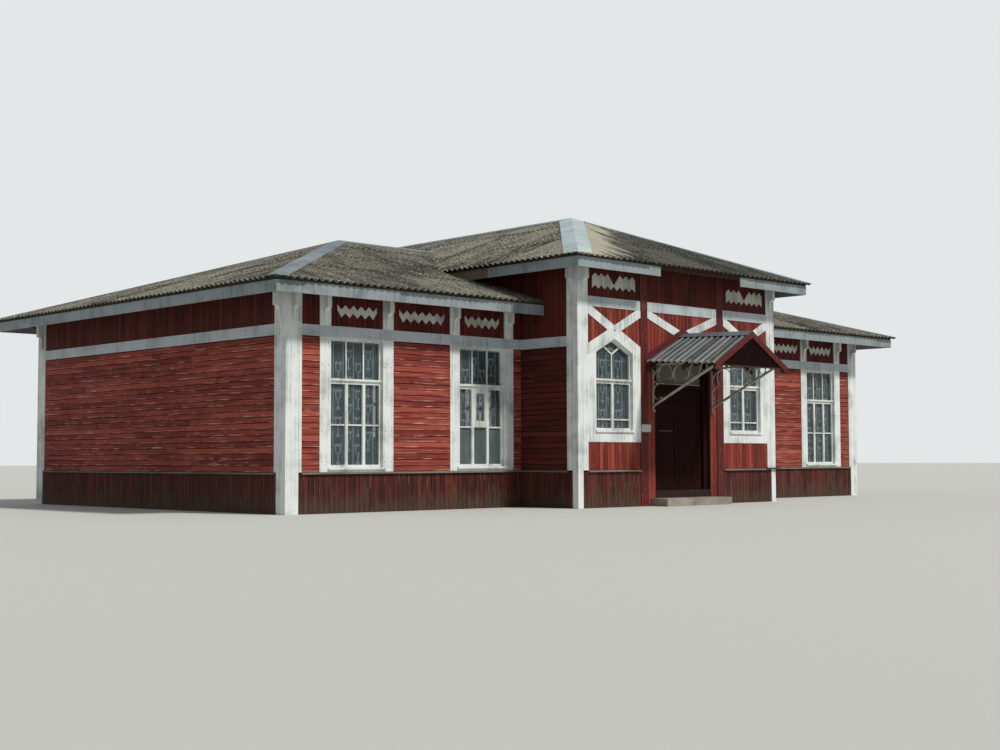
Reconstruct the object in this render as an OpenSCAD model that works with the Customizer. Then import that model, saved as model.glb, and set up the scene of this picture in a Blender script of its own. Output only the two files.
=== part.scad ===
/* [Plan] */
// Width of the centre block over its walls
center_w = 6200; // [5900:50:6600]
// Distance that the centre block stands forward of the wings, front and rear
center_step = 1550; // [1350:50:1850]
// Length of each wing beyond the centre block
wing_l = 5600; // [5500:50:6200]
// Depth of the wings over their walls
wing_d = 9200; // [8800:100:10000]
// Thickness of the boarded log walls
wall_t = 220; // [180:10:260]

/* [Base] */
// Top of the floor above the ground
floor_z = 300; // [240:10:360]
// Thickness of the floor boards and joists
floor_t = 120; // [80:10:180]
// Top of the sloped ledge board above the ground
ledge_z = 720; // [660:10:780]
// Thickness of the ledge board
ledge_t = 35; // [25:1:45]
// Distance that the ledge board stands out from the wall
ledge_out = 60; // [45:5:80]

/* [Roofs] */
// Height from the wing frieze band up to the lower edge of the wing sheets
wing_frieze_h = 695; // [660:5:760]
// Slope of the wing roofs in degrees
wing_pitch = 17.6; // [16:0.2:19]
// Distance from the wing walls out to the edge of the sheets
wing_eave_out = 750; // [680:10:820]
// Height that the centre eaves stand above the wing eaves
center_lift = 780; // [700:10:880]
// Slope of the centre roof in degrees
center_pitch = 21.8; // [20:0.2:23]
// Distance from the centre walls out to the edge of the sheets
center_eave_out = 620; // [560:10:680]
// Thickness of the sheet layer
sheet_t = 40; // [30:2:50]
// Distance that the sheets reach past the fascia boards
sheet_lap = 110; // [80:10:150]
// Upright thickness of the rafters and roof boards
deck_t = 120; // [90:10:150]
// Height of the fascia boards
fascia_h = 205; // [170:5:230]
// Gap between the underside of the sheets and the top of the fascia boards
fascia_drop = 45; // [20:5:60]
// Thickness of the fascia boards
fascia_t = 28; // [22:1:35]
// Width of the missing stretch of fascia over the door
fascia_gap_w = 2560; // [2200:20:2800]
// Width of the ridge caps
cap_w = 360; // [260:20:440]
// Thickness of the metal on hips and ridges
cap_t = 14; // [10:1:20]
// Width of the wide flashing on each side of the front left hip
flashing_w = 380; // [300:10:440]

/* [Trim boards] */
// Thickness of the white trim boards
trim_t = 28; // [20:1:36]
// Width of the corner posts of the wings, which reach the ground
wing_post_w = 245; // [200:5:260]
// Width of the corner posts of the centre block, which reach the ground
center_post_w = 118; // [100:2:130]
// Width of a wing corner with the strip that ends at the ledge
wing_corner_w = 310; // [280:5:340]
// Width of a centre corner with the board that ends at the ledge
center_corner_w = 260; // [230:5:280]
// Open joint between two boards that lie side by side
board_joint = 6; // [4:1:8]
// Height of the frieze bands
band_h = 195; // [160:5:220]
// Gap between the heads of the wing windows and the frieze band
head_gap = 15; // [10:1:20]
// Height from the centre frieze band up to the lower edge of the centre sheets
center_frieze_h = 700; // [660:5:760]
// Width of the red pilaster boards beside the door bay
pilaster_w = 220; // [180:10:240]
// Half width of the door bay between the red pilasters
door_bay_half = 1100; // [1060:10:1140]
// Width of the crossed brace boards
brace_w = 175; // [150:5:190]

/* [Wing windows] */
// Distance from the wing corner to the middle of the outer window
outer_window_x = 1519; // [1480:5:1560]
// Distance from the centre block to the middle of the inner window
inner_window_x = 1052; // [1045:5:1100]
// Width of the wing window openings
wing_window_w = 1170; // [1100:10:1200]
// Height of the wing window sill
wing_window_z = 800; // [780:5:840]
// Height of the wing window openings
wing_window_h = 2275; // [2200:5:2350]
// Width of the wing casing boards
wing_casing_w = 240; // [200:5:250]
// Distance from the head of the wing windows down to their transom
wing_top_light = 755; // [700:5:800]
// Distance from the sill of the wing windows up to their lower glazing bars
wing_low_light = 750; // [650:10:850]
// Width of the small vent pane in one wing window
vent_w = 225; // [200:5:250]
// Height of the small vent pane
vent_h = 530; // [480:10:580]

/* [Pointed windows] */
// Width of the pointed window openings
pointed_w = 1060; // [1000:10:1100]
// Height of the sill of the pointed windows
pointed_z = 1490; // [1440:10:1540]
// Gap between the point of the opening and the crossed braces above it
point_gap = 62; // [40:2:90]
// Height that a crossed brace rises across its bay
brace_run_h = 780; // [720:10:820]
// Height of the casing board under the pointed windows
pointed_apron_h = 230; // [180:10:260]
// Distance from the sill of the pointed windows up to their transom
pointed_transom_h = 950; // [880:10:1000]
// Distance from the sill of the pointed windows up to their lower glazing bar
pointed_bar_h = 210; // [170:10:260]

/* [Sashes] */
// Distance from the wall face back to the face of the sashes
sash_back = 35; // [25:5:60]
// Thickness of the sashes
sash_t = 40; // [34:2:50]
// Width of the sash frames
sash_w = 44; // [36:2:56]
// Width of the thin glazing bars
bar_w = 28; // [22:2:36]
// Thickness of the thin glazing bars
bar_t = 24; // [18:2:30]
// Height of the thick transoms
transom_h = 95; // [70:5:110]
// Width of the thick uprights under the transoms
mullion_w = 62; // [52:2:72]
// Distance that the transoms and sills stand out from the sashes and casings
drip_out = 32; // [22:2:40]
// Height of the sill boards
sill_h = 38; // [30:2:45]
// Thickness of the boards that line the window openings
lining_t = 20; // [16:1:25]
// Thickness of the glass
glass_t = 5; // [4:1:8]

/* [Door] */
// Width of the door opening
door_w = 1750; // [1600:10:1800]
// Height of the door opening above the floor
door_h = 2640; // [2600:10:2700]
// Width of the door posts and head
door_frame_w = 130; // [110:5:145]
// Height of the head of the door frame
door_head_h = 70; // [60:5:90]
// Depth of the door posts and head
door_frame_d = 110; // [90:5:120]
// Distance from the wall face back to the door frame
door_back = 60; // [40:5:80]
// Height of the door leaves
leaf_h = 2050; // [2000:10:2080]
// Thickness of the door leaves
leaf_t = 50; // [40:2:60]
// Height of the bar over the door leaves
door_bar_h = 70; // [60:5:80]
// Clearance round each door leaf
leaf_gap = 8; // [6:1:10]
// Width of the stiles and rails of the door leaves
stile_w = 105; // [90:5:120]
// Height of the upper panels of the door leaves
top_panel_h = 220; // [180:10:260]
// Depth of the panels below the face of the stiles
panel_drop = 12; // [8:1:16]
// Distance that the door step reaches past the door on each side
step_side = 150; // [100:10:200]
// Height of the door step
step_h = 150; // [120:10:180]
// Depth of the door step
step_d = 420; // [350:10:500]

/* [Canopy] */
// Distance that the canopy reaches out from the wall
canopy_d = 1780; // [1650:10:1850]
// Half width of the canopy roof measured level
canopy_half = 1130; // [1090:10:1180]
// Height of the peak of the canopy above the door opening
canopy_lift = 490; // [450:10:520]
// Slope of the canopy roof in degrees
canopy_pitch = 30; // [28:0.5:31]
// Width of one wave of the canopy sheets
wave_w = 150; // [140:1:160]
// Depth of the waves
wave_h = 42; // [34:1:46]
// Thickness of the canopy sheets
canopy_sheet_t = 7; // [6:0.5:10]
// Width of the canopy rafters
rafter_w = 60; // [50:5:70]
// Depth of the canopy rafters measured square to the slope
rafter_h = 75; // [65:5:90]
// Width of the boards on the front slopes of the canopy
rake_h = 118; // [100:2:135]
// Thickness of the canopy boards
board_t = 25; // [20:1:30]
// Height of the board on the wall above and below the canopy sheets
canopy_board_h = 105; // [85:5:120]
// Distance from the peak of the canopy down to the batten under its gable
gable_drop = 690; // [600:10:710]
// Half width of the ridge cap of the canopy
canopy_cap_half = 165; // [140:5:190]
// Distance from the middle of the door to a canopy bracket
bracket_x = 940; // [925:5:975]
// Height of the wall bars of the brackets
bracket_h = 930; // [880:10:960]
// Side of the square bracket bars
bracket_bar = 36; // [30:2:42]
// Diameter of the round diagonal struts
strut_dia = 46; // [40:2:54]
// Width of the flat iron of the scrolls
scroll_w = 13; // [10:1:16]
// Thickness of the flat iron of the scrolls
scroll_t = 12; // [8:1:16]
// Outer radius of the large rings
ring_r = 190; // [170:5:195]

/* [Fretwork] */
// Number of points on each row of the wing frets
fret_teeth = 5; // [4:1:6]
// Height of the wing frets from point to point
fret_h = 225; // [200:5:240]
// Height of the upright ends of the wing frets
fret_end_h = 100; // [80:5:120]
// Distance from a wing band up to the middle of its frets
wing_fret_lift = 275; // [250:5:300]
// Distance from a centre band up to the middle of its frets
center_fret_lift = 312; // [290:4:340]
// Half width of the deep notch in a centre fret
fret_gap_half = 195; // [170:5:210]
// Depth of the notches of the frets
fret_notch = 66; // [50:2:80]
// Gap beside the wing frets
fret_margin = 140; // [110:10:170]
// Number of notches in the lower row of the centre frets, an odd one
center_fret_teeth = 7; // [5:2:9]
// Width of the centre frets
center_fret_w = 1250; // [1150:10:1300]
// Height of the centre frets from point to point
center_fret_h = 305; // [280:5:320]
// Thickness of the frets
fret_t = 20; // [14:1:25]
// Distance that the eave consoles reach down below the fascia
console_drop = 400; // [360:10:420]
// Height of the block at the top of a console, below the fascia edge
console_nose = 130; // [100:5:160]
// Distance that the consoles stand out from the boards
console_out = 120; // [100:5:150]
// Thickness of the console boards
console_w = 90; // [70:5:110]

/* [Hidden] */
$fn = 48;

// Slack that cutters reach past the faces they cut
cut = 100;
// Clearance at which sloped pieces lie on each other
seat = 0.3;
// Lowest level of the roof bodies, well under the eaves
roof_foot = 1200;

// Plan
center_half = center_w / 2;
wing_half = wing_d / 2;
front_y = -(wing_half + center_step);
wing_end = center_half + wing_l;
inner_half = center_half - wall_t;

// Levels of the wing windows, bands and eaves, from the sill up
wing_window_head = wing_window_z + wing_window_h;
wing_transom_z = wing_window_head - wing_top_light;
wing_bar_z = wing_window_z + wing_low_light;
wing_band_z = wing_window_head + head_gap;
wing_eave_z = wing_band_z + band_h + wing_frieze_h;
center_eave_z = wing_eave_z + center_lift;
center_band_z = center_eave_z - center_frieze_h - band_h;
wing_fret_z = wing_band_z + band_h + wing_fret_lift;
center_fret_z = center_band_z + band_h + center_fret_lift;

// Roof planes
wing_rise = tan(wing_pitch);
center_rise = tan(center_pitch);
wing_hx = wing_end + wing_eave_out;
wing_hy = wing_half + wing_eave_out;
center_hx = center_half + center_eave_out;
center_hy = -front_y + center_eave_out;
wing_ridge_z = wing_eave_z + wing_hy * wing_rise;
center_ridge_z = center_eave_z + center_hx * center_rise;
center_ridge_half = center_hy - center_hx;
wing_ridge_half = wing_hx - wing_hy;
roof_t = sheet_t + deck_t;

// Fascia boards hang under the sheets, on the ends of the rafters
wing_fascia_z = wing_eave_z + sheet_lap * wing_rise - sheet_t - fascia_drop - fascia_h;
center_fascia_z = center_eave_z + sheet_lap * center_rise - sheet_t - fascia_drop - fascia_h;

// Door
door_top = floor_z + door_h;
leaf_w = (door_w - 2 * door_frame_w - 3 * leaf_gap) / 2;
door_inner_y = front_y + door_back + door_frame_d;
hinge_x = door_w / 2 - door_frame_w - leaf_gap;
leaf_z = floor_z + leaf_gap;
door_bar_z = leaf_z + leaf_h + leaf_gap;

// Drop from the centre frieze band to the upper ends of the braces at their middle line
brace_gap = 40;
// Bay between a red pilaster and a corner, crossed by two braces over its window
bay_left = door_bay_half + pilaster_w;
bay_right = center_half - center_corner_w;
bay_w = bay_right - bay_left;
pointed_x = (bay_left + bay_right) / 2;
brace_top_z = center_band_z - brace_gap;
brace_foot_z = brace_top_z - brace_run_h;
brace_angle = atan(brace_run_h / bay_w);
brace_v = brace_w / cos(brace_angle);
crossing_foot_z = brace_foot_z + brace_run_h / 2 - brace_v / 2;

// Pointed windows
pointed_apex_z = crossing_foot_z - point_gap;
pointed_shoulder_z = pointed_apex_z - pointed_w / 2 * tan(brace_angle);
pointed_transom_z = pointed_z + pointed_transom_h;
pointed_bar_z = pointed_z + pointed_bar_h;
rhomb_drop = 30;
rhomb_foot_z = pointed_shoulder_z - rhomb_drop;
rhomb_side_z = pointed_apex_z - pointed_w / 4 * tan(brace_angle);
rhomb_angle = atan((rhomb_side_z - rhomb_foot_z) / (pointed_w / 4));

// Canopy
canopy_apex_z = door_top + canopy_lift;
canopy_rise = tan(canopy_pitch);
canopy_front_y = front_y - canopy_d;
slope_l = canopy_half / cos(canopy_pitch);
rafter_drop = rafter_h / cos(canopy_pitch);
sheet_drop = wave_h / cos(canopy_pitch);
rafter_top_z = canopy_apex_z - sheet_drop - seat;
bracket_top_z = canopy_apex_z - sheet_drop - (bracket_x + bracket_bar / 2) * canopy_rise - seat;
bracket_foot_z = bracket_top_z - bracket_h;
rafter_back = front_y - trim_t - board_t;
cap_h = 4;
wave_steps = 8;
wave_points = floor((canopy_d - trim_t - 2 * board_t) * wave_steps / wave_w);
// Level at which the braces over the door meet behind the canopy
middle_brace_z = canopy_apex_z - cap_h;

white = [0.82, 0.83, 0.80];
dark_red = [0.42, 0.10, 0.09];
grey_metal = [0.52, 0.55, 0.57];

// Box between two corners
module span(a, b) translate(a) cube([b[0] - a[0], b[1] - a[1], b[2] - a[2]]);

// Flat piece drawn in X and Z, from its front face y back by t
module upright(y, t) translate([0, y + t, 0]) rotate([90, 0, 0]) linear_extrude(t) children();

// Flat piece drawn in Y and Z, from x to x + t
module crosswise(x, t) translate([x, 0, 0]) rotate([90, 0, 90]) linear_extrude(t) children();

module both_sides() {
    children();
    mirror([1, 0, 0]) children();
}

module both_fronts() {
    children();
    mirror([0, 1, 0]) children();
}

module four_corners() both_fronts() both_sides() children();

// Section of a hipped roof along one axis: half length, run of the slope and heights
function roof_section(half, run, edge_z, top_z, foot_z) = half > run + 0.01
    ? [[-half, foot_z], [-half, edge_z], [run - half, top_z], [half - run, top_z], [half, edge_z], [half, foot_z]]
    : [[-half, foot_z], [-half, edge_z], [0, top_z], [half, edge_z], [half, foot_z]];

// Everything under four roof planes, down to foot_z
module hip_body(half_x, half_y, edge_z, rise, foot_z) {
    run = min(half_x, half_y);
    top_z = edge_z + run * rise;
    intersection() {
        translate([0, half_y, 0]) rotate([90, 0, 0]) linear_extrude(2 * half_y)
            polygon(roof_section(half_x, run, edge_z, top_z, foot_z));
        translate([-half_x, 0, 0]) rotate([90, 0, 90]) linear_extrude(2 * half_x)
            polygon(roof_section(half_y, run, edge_z, top_z, foot_z));
    }
}

// Wing roof, drawn in from its edge by inset and lowered by drop
module wing_body(inset, drop, foot_z = roof_foot)
    hip_body(wing_hx - inset, wing_hy - inset, wing_eave_z + inset * wing_rise - drop, wing_rise, foot_z);

// Centre roof, drawn in from its edge by inset and lowered by drop
module center_body(inset, drop, foot_z = roof_foot)
    hip_body(center_hx - inset, center_hy - inset, center_eave_z + inset * center_rise - drop, center_rise, foot_z);

// Layer of a roof between two levels under its sheet tops, with its edge drawn in by inset
module wing_layer(inset, upper, lower) difference() {
    wing_body(inset, upper);
    wing_body(inset - cut, lower, roof_foot - cut);
}

module center_layer(inset, upper, lower) difference() {
    center_body(inset, upper);
    center_body(inset - cut, lower, roof_foot - cut);
}

// All that the centre block takes out of the wing roofs
module center_envelope() {
    intersection() {
        center_body(0, -seat);
        span([-center_half, -center_hy - cut, 0], [center_half, center_hy + cut, center_ridge_z + cut]);
    }
    center_layer(0, -seat, sheet_t + seat);
    center_layer(sheet_lap - seat, sheet_t, roof_t + seat);
}

// The room under each roof deck, which walls and trim fill up to
module under_wing_deck(foot_z = roof_foot) wing_body(sheet_lap, roof_t + seat, foot_z);
module under_center_deck(foot_z = roof_foot) center_body(sheet_lap, roof_t + seat, foot_z);

// Cross shaped plan of the building, drawn in by inset
module plan(inset) {
    square([2 * (wing_end - inset), 2 * (wing_half - inset)], center = true);
    square([2 * (center_half - inset), 2 * (-front_y - inset)], center = true);
}

module door_void(z_top) {
    for (side = [-1, 1])
        span([-door_w / 2, side * -front_y - wall_t - cut, floor_z], [door_w / 2, side * -front_y + wall_t + cut, z_top]);
}

module plinth() color("#6b2a22") difference() {
    linear_extrude(ledge_z) difference() {
        plan(0);
        plan(wall_t);
    }
    door_void(ledge_z + cut);
}

module floor() color("#7a6248") translate([0, 0, floor_z - floor_t]) linear_extrude(floor_t) plan(wall_t);

// Opening of a wing window, grown by extra all round
module wing_opening(extra) translate([-wing_window_w / 2 - extra, wing_window_z - extra])
    square([wing_window_w + 2 * extra, wing_window_h + 2 * extra]);

module wing_window_void(x) upright(-wing_half - cut, wall_t + 2 * cut) translate([x, 0]) wing_opening(lining_t);

wing_window_xs = [wing_end - outer_window_x, center_half + inner_window_x];

// Long wall of the right wing at the front
module wing_long_wall() difference() {
    intersection() {
        span([center_half, -wing_half, ledge_z], [wing_end, -wing_half + wall_t, center_eave_z]);
        under_wing_deck(0);
    }
    for (x = wing_window_xs) wing_window_void(x);
}

// End wall of the right wing
module wing_end_wall() intersection() {
    span([wing_end - wall_t, -wing_half + wall_t, ledge_z], [wing_end, wing_half - wall_t, center_eave_z]);
    under_wing_deck(0);
}

module left_wing_front_wall() color(dark_red) mirror([1, 0, 0]) wing_long_wall();
module right_wing_front_wall() color(dark_red) wing_long_wall();
module left_wing_rear_wall() color(dark_red) mirror([1, 0, 0]) mirror([0, 1, 0]) wing_long_wall();
module right_wing_rear_wall() color(dark_red) mirror([0, 1, 0]) wing_long_wall();
module left_wing_end_wall() color(dark_red) mirror([1, 0, 0]) wing_end_wall();
module right_wing_end_wall() color(dark_red) wing_end_wall();

// Level of the beam over the wide passage between the hall and a wing
passage_top = wing_band_z + band_h;

// Side wall of the centre block: a return at each end and the wall over the passage into the wing
module center_side_wall() intersection() {
    difference() {
        span([inner_half, front_y + wall_t, ledge_z], [center_half, -front_y - wall_t, center_ridge_z]);
        span([inner_half - cut, -wing_half + wall_t, 0], [center_half + cut, wing_half - wall_t, passage_top]);
    }
    under_center_deck(0);
}

module left_side_wall() color(dark_red) mirror([1, 0, 0]) center_side_wall();
module right_side_wall() color(dark_red) center_side_wall();

// Outline of a pointed opening, drawn in by inset
module pointed_outline(inset) {
    half = pointed_w / 2 - inset;
    apex = pointed_apex_z - inset / cos(brace_angle);
    shoulder = apex - half * tan(brace_angle);
    polygon([[-half, pointed_z + inset], [half, pointed_z + inset], [half, shoulder], [0, apex], [-half, shoulder]]);
}

module pointed_void() upright(front_y - cut, wall_t + 2 * cut) translate([pointed_x, 0]) pointed_outline(-lining_t);

// Front wall of the centre block to the right of the door
module center_pier() difference() {
    span([door_w / 2, front_y, ledge_z], [center_half, front_y + wall_t, door_top]);
    pointed_void();
}

// Front wall of the centre block above the door
module center_upper_wall() difference() {
    intersection() {
        span([-center_half, front_y, door_top], [center_half, front_y + wall_t, center_ridge_z]);
        under_center_deck(0);
    }
    both_sides() pointed_void();
}

module front_wall_left() color(dark_red) mirror([1, 0, 0]) center_pier();
module front_wall_right() color(dark_red) center_pier();
module front_wall_over_door() color(dark_red) center_upper_wall();
module rear_wall() color(dark_red) mirror([0, 1, 0]) {
    both_sides() center_pier();
    center_upper_wall();
}

module center_roof_deck() color("#5b4a3c") difference() {
    center_layer(sheet_lap, sheet_t + seat, roof_t);
    wing_body(sheet_lap - cut, roof_t, roof_foot - cut);
}

module center_roof_sheets() color("#8d8a80") difference() {
    center_layer(0, 0, sheet_t);
    wing_body(-cut, roof_t, roof_foot - cut);
}

module wing_roof_deck() color("#5b4a3c") difference() {
    wing_layer(sheet_lap, sheet_t + seat, roof_t);
    center_envelope();
}

module wing_roof_sheets() color("#8d8a80") difference() {
    wing_layer(0, 0, sheet_t);
    center_envelope();
}

// Strip in plan along a line from a to b
module strip(a, b, w) {
    d = b - a;
    l = norm(d);
    s = [-d[1], d[0]] / l * w / 2;
    polygon([a + s, a - s, b - s, b + s]);
}

module above_all() translate([0, 0, roof_foot]) linear_extrude(center_ridge_z) children();

// Metal layer that lies on the centre sheets
module center_metal() center_layer(0, -cap_t - seat, -seat);

module ridge_caps() color(grey_metal) {
    intersection() {
        center_metal();
        above_all() {
            strip([0, -center_ridge_half], [0, center_ridge_half], cap_w);
            strip([0, -center_ridge_half], [center_hx, -center_hy], cap_w);
            both_sides() strip([0, center_ridge_half], [center_hx, center_hy], cap_w);
        }
        above_all() difference() {
            square(2 * center_hy, center = true);
            flashing_plan();
        }
    }
    difference() {
        intersection() {
            wing_layer(0, -cap_t - seat, -seat);
            above_all() {
                strip([-wing_ridge_half, 0], [wing_ridge_half, 0], cap_w);
                four_corners() strip([wing_ridge_half, 0], [wing_hx, wing_hy], cap_w);
            }
        }
        center_body(-cut, -cap_t - 2 * seat);
    }
}

module flashing_plan() strip([0, -center_ridge_half], [-center_hx, -center_hy], 2 * flashing_w * cos(45));

module hip_flashings() color("#aab0b2") intersection() {
    center_metal();
    above_all() flashing_plan();
}

// Ring of boards on the ends of the rafters, under a roof
module fascia_ring(hx, hy, z) translate([0, 0, z]) linear_extrude(center_ridge_z) difference() {
    square([2 * (hx - sheet_lap + fascia_t), 2 * (hy - sheet_lap + fascia_t)], center = true);
    square([2 * (hx - sheet_lap), 2 * (hy - sheet_lap)], center = true);
}

module fascias() color(white) {
    difference() {
        intersection() {
            fascia_ring(wing_hx, wing_hy, wing_fascia_z);
            wing_body(-cut, sheet_t + fascia_drop);
        }
        span([-center_half, -center_hy, 0], [center_half, center_hy, center_ridge_z]);
    }
    difference() {
        intersection() {
            fascia_ring(center_hx, center_hy, center_fascia_z);
            center_body(-cut, sheet_t + fascia_drop);
        }
        wing_body(0, -seat, 0);
        span([-fascia_gap_w / 2, -center_hy, 0], [fascia_gap_w / 2, 0, center_ridge_z]);
    }
}

// Squares in plan that hold the corner boards, w wide from each corner
module wing_corner_plan(w) four_corners() translate([wing_end - w, wing_half - w]) square(w + 2 * cut);
module center_corner_plan(w) four_corners() translate([center_half - w, -front_y - w]) square(w + 2 * cut);

// Ring of boards of thickness t on the walls
module wall_ring(t) difference() {
    plan(-t);
    plan(0);
}

module door_bay_plan(half) square([2 * half, 2 * (-front_y + cut)], center = true);

// Section of the ledge board: its top slopes away from the wall, which is at 0
module ledge_section() polygon([[0, 0], [-ledge_out, -ledge_t / 2], [-ledge_out, -ledge_t], [0, -ledge_t]]);

// Stretch of the ledge on a face that looks to the front, from x1 to x2
module ledge_run(x1, x2, face_y) crosswise(x1, x2 - x1) translate([face_y, ledge_z]) ledge_section();

// Stretch of the ledge on a face that looks to the right, from y1 to y2
module side_ledge_run(y1, y2, face_x) rotate([0, 0, 90]) ledge_run(y1, y2, -face_x);

module ledge_boards() color("#5c2b25") {
    four_corners() {
        ledge_run(center_half, wing_end - wing_corner_w, -wing_half);
        ledge_run(bay_left, bay_right, front_y);
        side_ledge_run(front_y + center_corner_w, -wing_half - ledge_out, center_half);
    }
    both_sides() side_ledge_run(wing_corner_w - wing_half, wing_half - wing_corner_w, wing_end);
}

module frieze_bands() color(white) {
    translate([0, 0, wing_band_z]) linear_extrude(band_h) difference() {
        wall_ring(trim_t);
        wing_corner_plan(wing_corner_w);
        center_corner_plan(center_corner_w);
        door_bay_plan(center_half - center_corner_w);
    }
    translate([0, 0, center_band_z]) linear_extrude(band_h) intersection() {
        wall_ring(trim_t);
        difference() {
            door_bay_plan(center_half - center_corner_w);
            both_sides() translate([door_bay_half, front_y - cut]) square([pilaster_w, 2 * (cut - front_y)]);
        }
    }
}

module corner_boards() color(white) {
    intersection() {
        union() {
            linear_extrude(center_eave_z) intersection() {
                wall_ring(trim_t);
                wing_corner_plan(wing_post_w);
            }
            translate([0, 0, ledge_z]) linear_extrude(center_eave_z) difference() {
                intersection() {
                    wall_ring(trim_t);
                    wing_corner_plan(wing_corner_w);
                }
                wing_corner_plan(wing_post_w + board_joint);
            }
        }
        under_wing_deck(-cut);
    }
    intersection() {
        union() {
            linear_extrude(center_ridge_z) intersection() {
                wall_ring(trim_t);
                center_corner_plan(center_post_w);
            }
            translate([0, 0, ledge_z]) linear_extrude(center_ridge_z) difference() {
                intersection() {
                    wall_ring(trim_t);
                    center_corner_plan(center_corner_w);
                }
                center_corner_plan(center_post_w + board_joint);
            }
        }
        under_center_deck(-cut);
    }
}

module red_pilasters() color(dark_red) intersection() {
    four_corners() span([door_bay_half, front_y - trim_t, 0], [door_bay_half + pilaster_w, front_y, center_ridge_z]);
    under_center_deck(-cut);
}

// Casing of one wing window: boards, lining, sill and the pilaster strips that carry it up to the eave
module wing_casing(x) {
    half = wing_window_w / 2;
    outer = half + wing_casing_w;
    upright(-wing_half - trim_t, trim_t) difference() {
        translate([x - outer, ledge_z]) square([2 * outer, wing_band_z - ledge_z]);
        translate([x, 0]) wing_opening(0);
    }
    upright(-wing_half, sash_back + sash_t) translate([x, 0]) difference() {
        wing_opening(lining_t);
        wing_opening(0);
    }
    span([x - half - mullion_w, -wing_half - trim_t - drip_out, wing_window_z - sill_h],
        [x + half + mullion_w, -wing_half - trim_t, wing_window_z]);
    for (side = [-1, 1]) intersection() {
        span([x + side * (outer + half) / 2 - wing_casing_w / 2, -wing_half - trim_t, wing_band_z + band_h],
            [x + side * (outer + half) / 2 + wing_casing_w / 2, -wing_half, center_eave_z]);
        under_wing_deck();
    }
}

module wing_window_casings() color(white) four_corners() for (x = wing_window_xs) wing_casing(x);

// One board that rises across a bay, from z1 to z2 at its middle line
module rising_board(x1, x2, z1, z2, tall) polygon([[x1, z1 - tall / 2], [x2, z2 - tall / 2],
    [x2, z2 + tall / 2], [x1, z1 + tall / 2]]);

// Casing of one pointed window up to the braces that crown it, with its lining and sill
module pointed_casing() {
    upright(front_y - trim_t, trim_t) difference() {
        polygon([[bay_left, pointed_z - pointed_apron_h], [bay_right, pointed_z - pointed_apron_h],
            [bay_right, brace_foot_z - brace_v / 2], [pointed_x, crossing_foot_z], [bay_left, brace_foot_z - brace_v / 2]]);
        translate([pointed_x, 0]) pointed_outline(0);
    }
    upright(front_y, sash_back + sash_t) translate([pointed_x, 0]) difference() {
        pointed_outline(-lining_t);
        pointed_outline(0);
    }
    span([pointed_x - pointed_w / 2 - sash_w / 2, front_y - trim_t - drip_out, pointed_z - sill_h],
        [pointed_x + pointed_w / 2 + sash_w / 2, front_y - trim_t, pointed_z]);
}

module center_window_casings() color(white) four_corners() pointed_casing();

module crossed_braces() color(white) both_fronts() {
    both_sides() upright(front_y - trim_t, trim_t) intersection() {
        union() {
            rising_board(bay_left, bay_right, brace_foot_z, brace_top_z, brace_v);
            rising_board(bay_left, bay_right, brace_top_z, brace_foot_z, brace_v);
        }
        translate([bay_left, 0]) square([bay_w, center_band_z]);
    }
    upright(front_y - trim_t, trim_t) intersection() {
        both_sides() rising_board(0, door_bay_half, middle_brace_z, brace_top_z, brace_w);
        translate([-door_bay_half, 0]) square([2 * door_bay_half, center_band_z]);
    }
}

// Side shape of a console: a block under the eave, a cove and a long taper down to foot_z
module console_outline(foot_z, eave_z) {
    nose_z = eave_z - console_nose;
    cove = 0.7 * console_out;
    translate([-console_out, nose_z]) square([console_out, center_ridge_z - nose_z]);
    difference() {
        translate([-console_out, nose_z - cove]) square([console_out, cove + 1]);
        translate([-console_out, nose_z - cove]) circle(cove);
    }
    polygon([[0, foot_z], [-0.14 * console_out, foot_z], [-0.3 * console_out, nose_z - cove], [0, nose_z - cove]]);
}

// Console on a face that looks to the front, with its middle at x
module console(x, face_y, foot_z, eave_z) crosswise(x - console_w / 2, console_w) translate([face_y - trim_t, 0])
    console_outline(foot_z, eave_z);

// Console on a face that looks to the right
module side_console(y, face_x, foot_z, eave_z) rotate([0, 0, 90]) console(y, -face_x, foot_z, eave_z);

module eave_consoles() color(white) four_corners() {
    intersection() {
        union() {
            for (x = wing_window_xs, side = [-1, 1])
                console(x + side * (wing_window_w + wing_casing_w) / 2, -wing_half,
                    wing_fascia_z - console_drop, wing_fascia_z);
            console(wing_end - wing_corner_w / 2, -wing_half, wing_fascia_z - console_drop, wing_fascia_z);
            side_console(-wing_half + wing_corner_w / 2, wing_end, wing_fascia_z - console_drop, wing_fascia_z);
        }
        under_wing_deck();
    }
    intersection() {
        union() {
            console(center_half - center_corner_w / 2, front_y, center_fascia_z - console_drop, center_fascia_z);
            side_console(front_y + center_corner_w / 2, center_half, center_fascia_z - console_drop, center_fascia_z);
        }
        under_center_deck();
    }
}

// Row of points from x = 0 to w: the even ones at z_even and the odd ones at z_odd
function zigzag(teeth, w, z_even, z_odd) = [for (i = [0 : 2 * teeth]) [i * w / (2 * teeth), i % 2 == 0 ? z_even : z_odd]];

// Row without its two ends, from x = w back to 0
function inner_zigzag(teeth, w, z_even, z_odd) = let(row = zigzag(teeth, w, z_even, z_odd))
    [for (i = [2 * teeth - 1 : -1 : 1]) row[i]];

// Zigzag board of the wings, with its middle at 0
module wing_fret(w, teeth) translate([-w / 2, 0]) polygon(concat(
    zigzag(teeth, w, fret_h / 2, fret_h / 2 - fret_notch), [[w, fret_h / 2 - fret_end_h]],
    inner_zigzag(teeth, w, fret_notch - fret_h / 2, -fret_h / 2), [[0, fret_h / 2 - fret_end_h]]));

// Wood left between the deep notch of a centre fret and the notch under it
fret_neck = 12;

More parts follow.
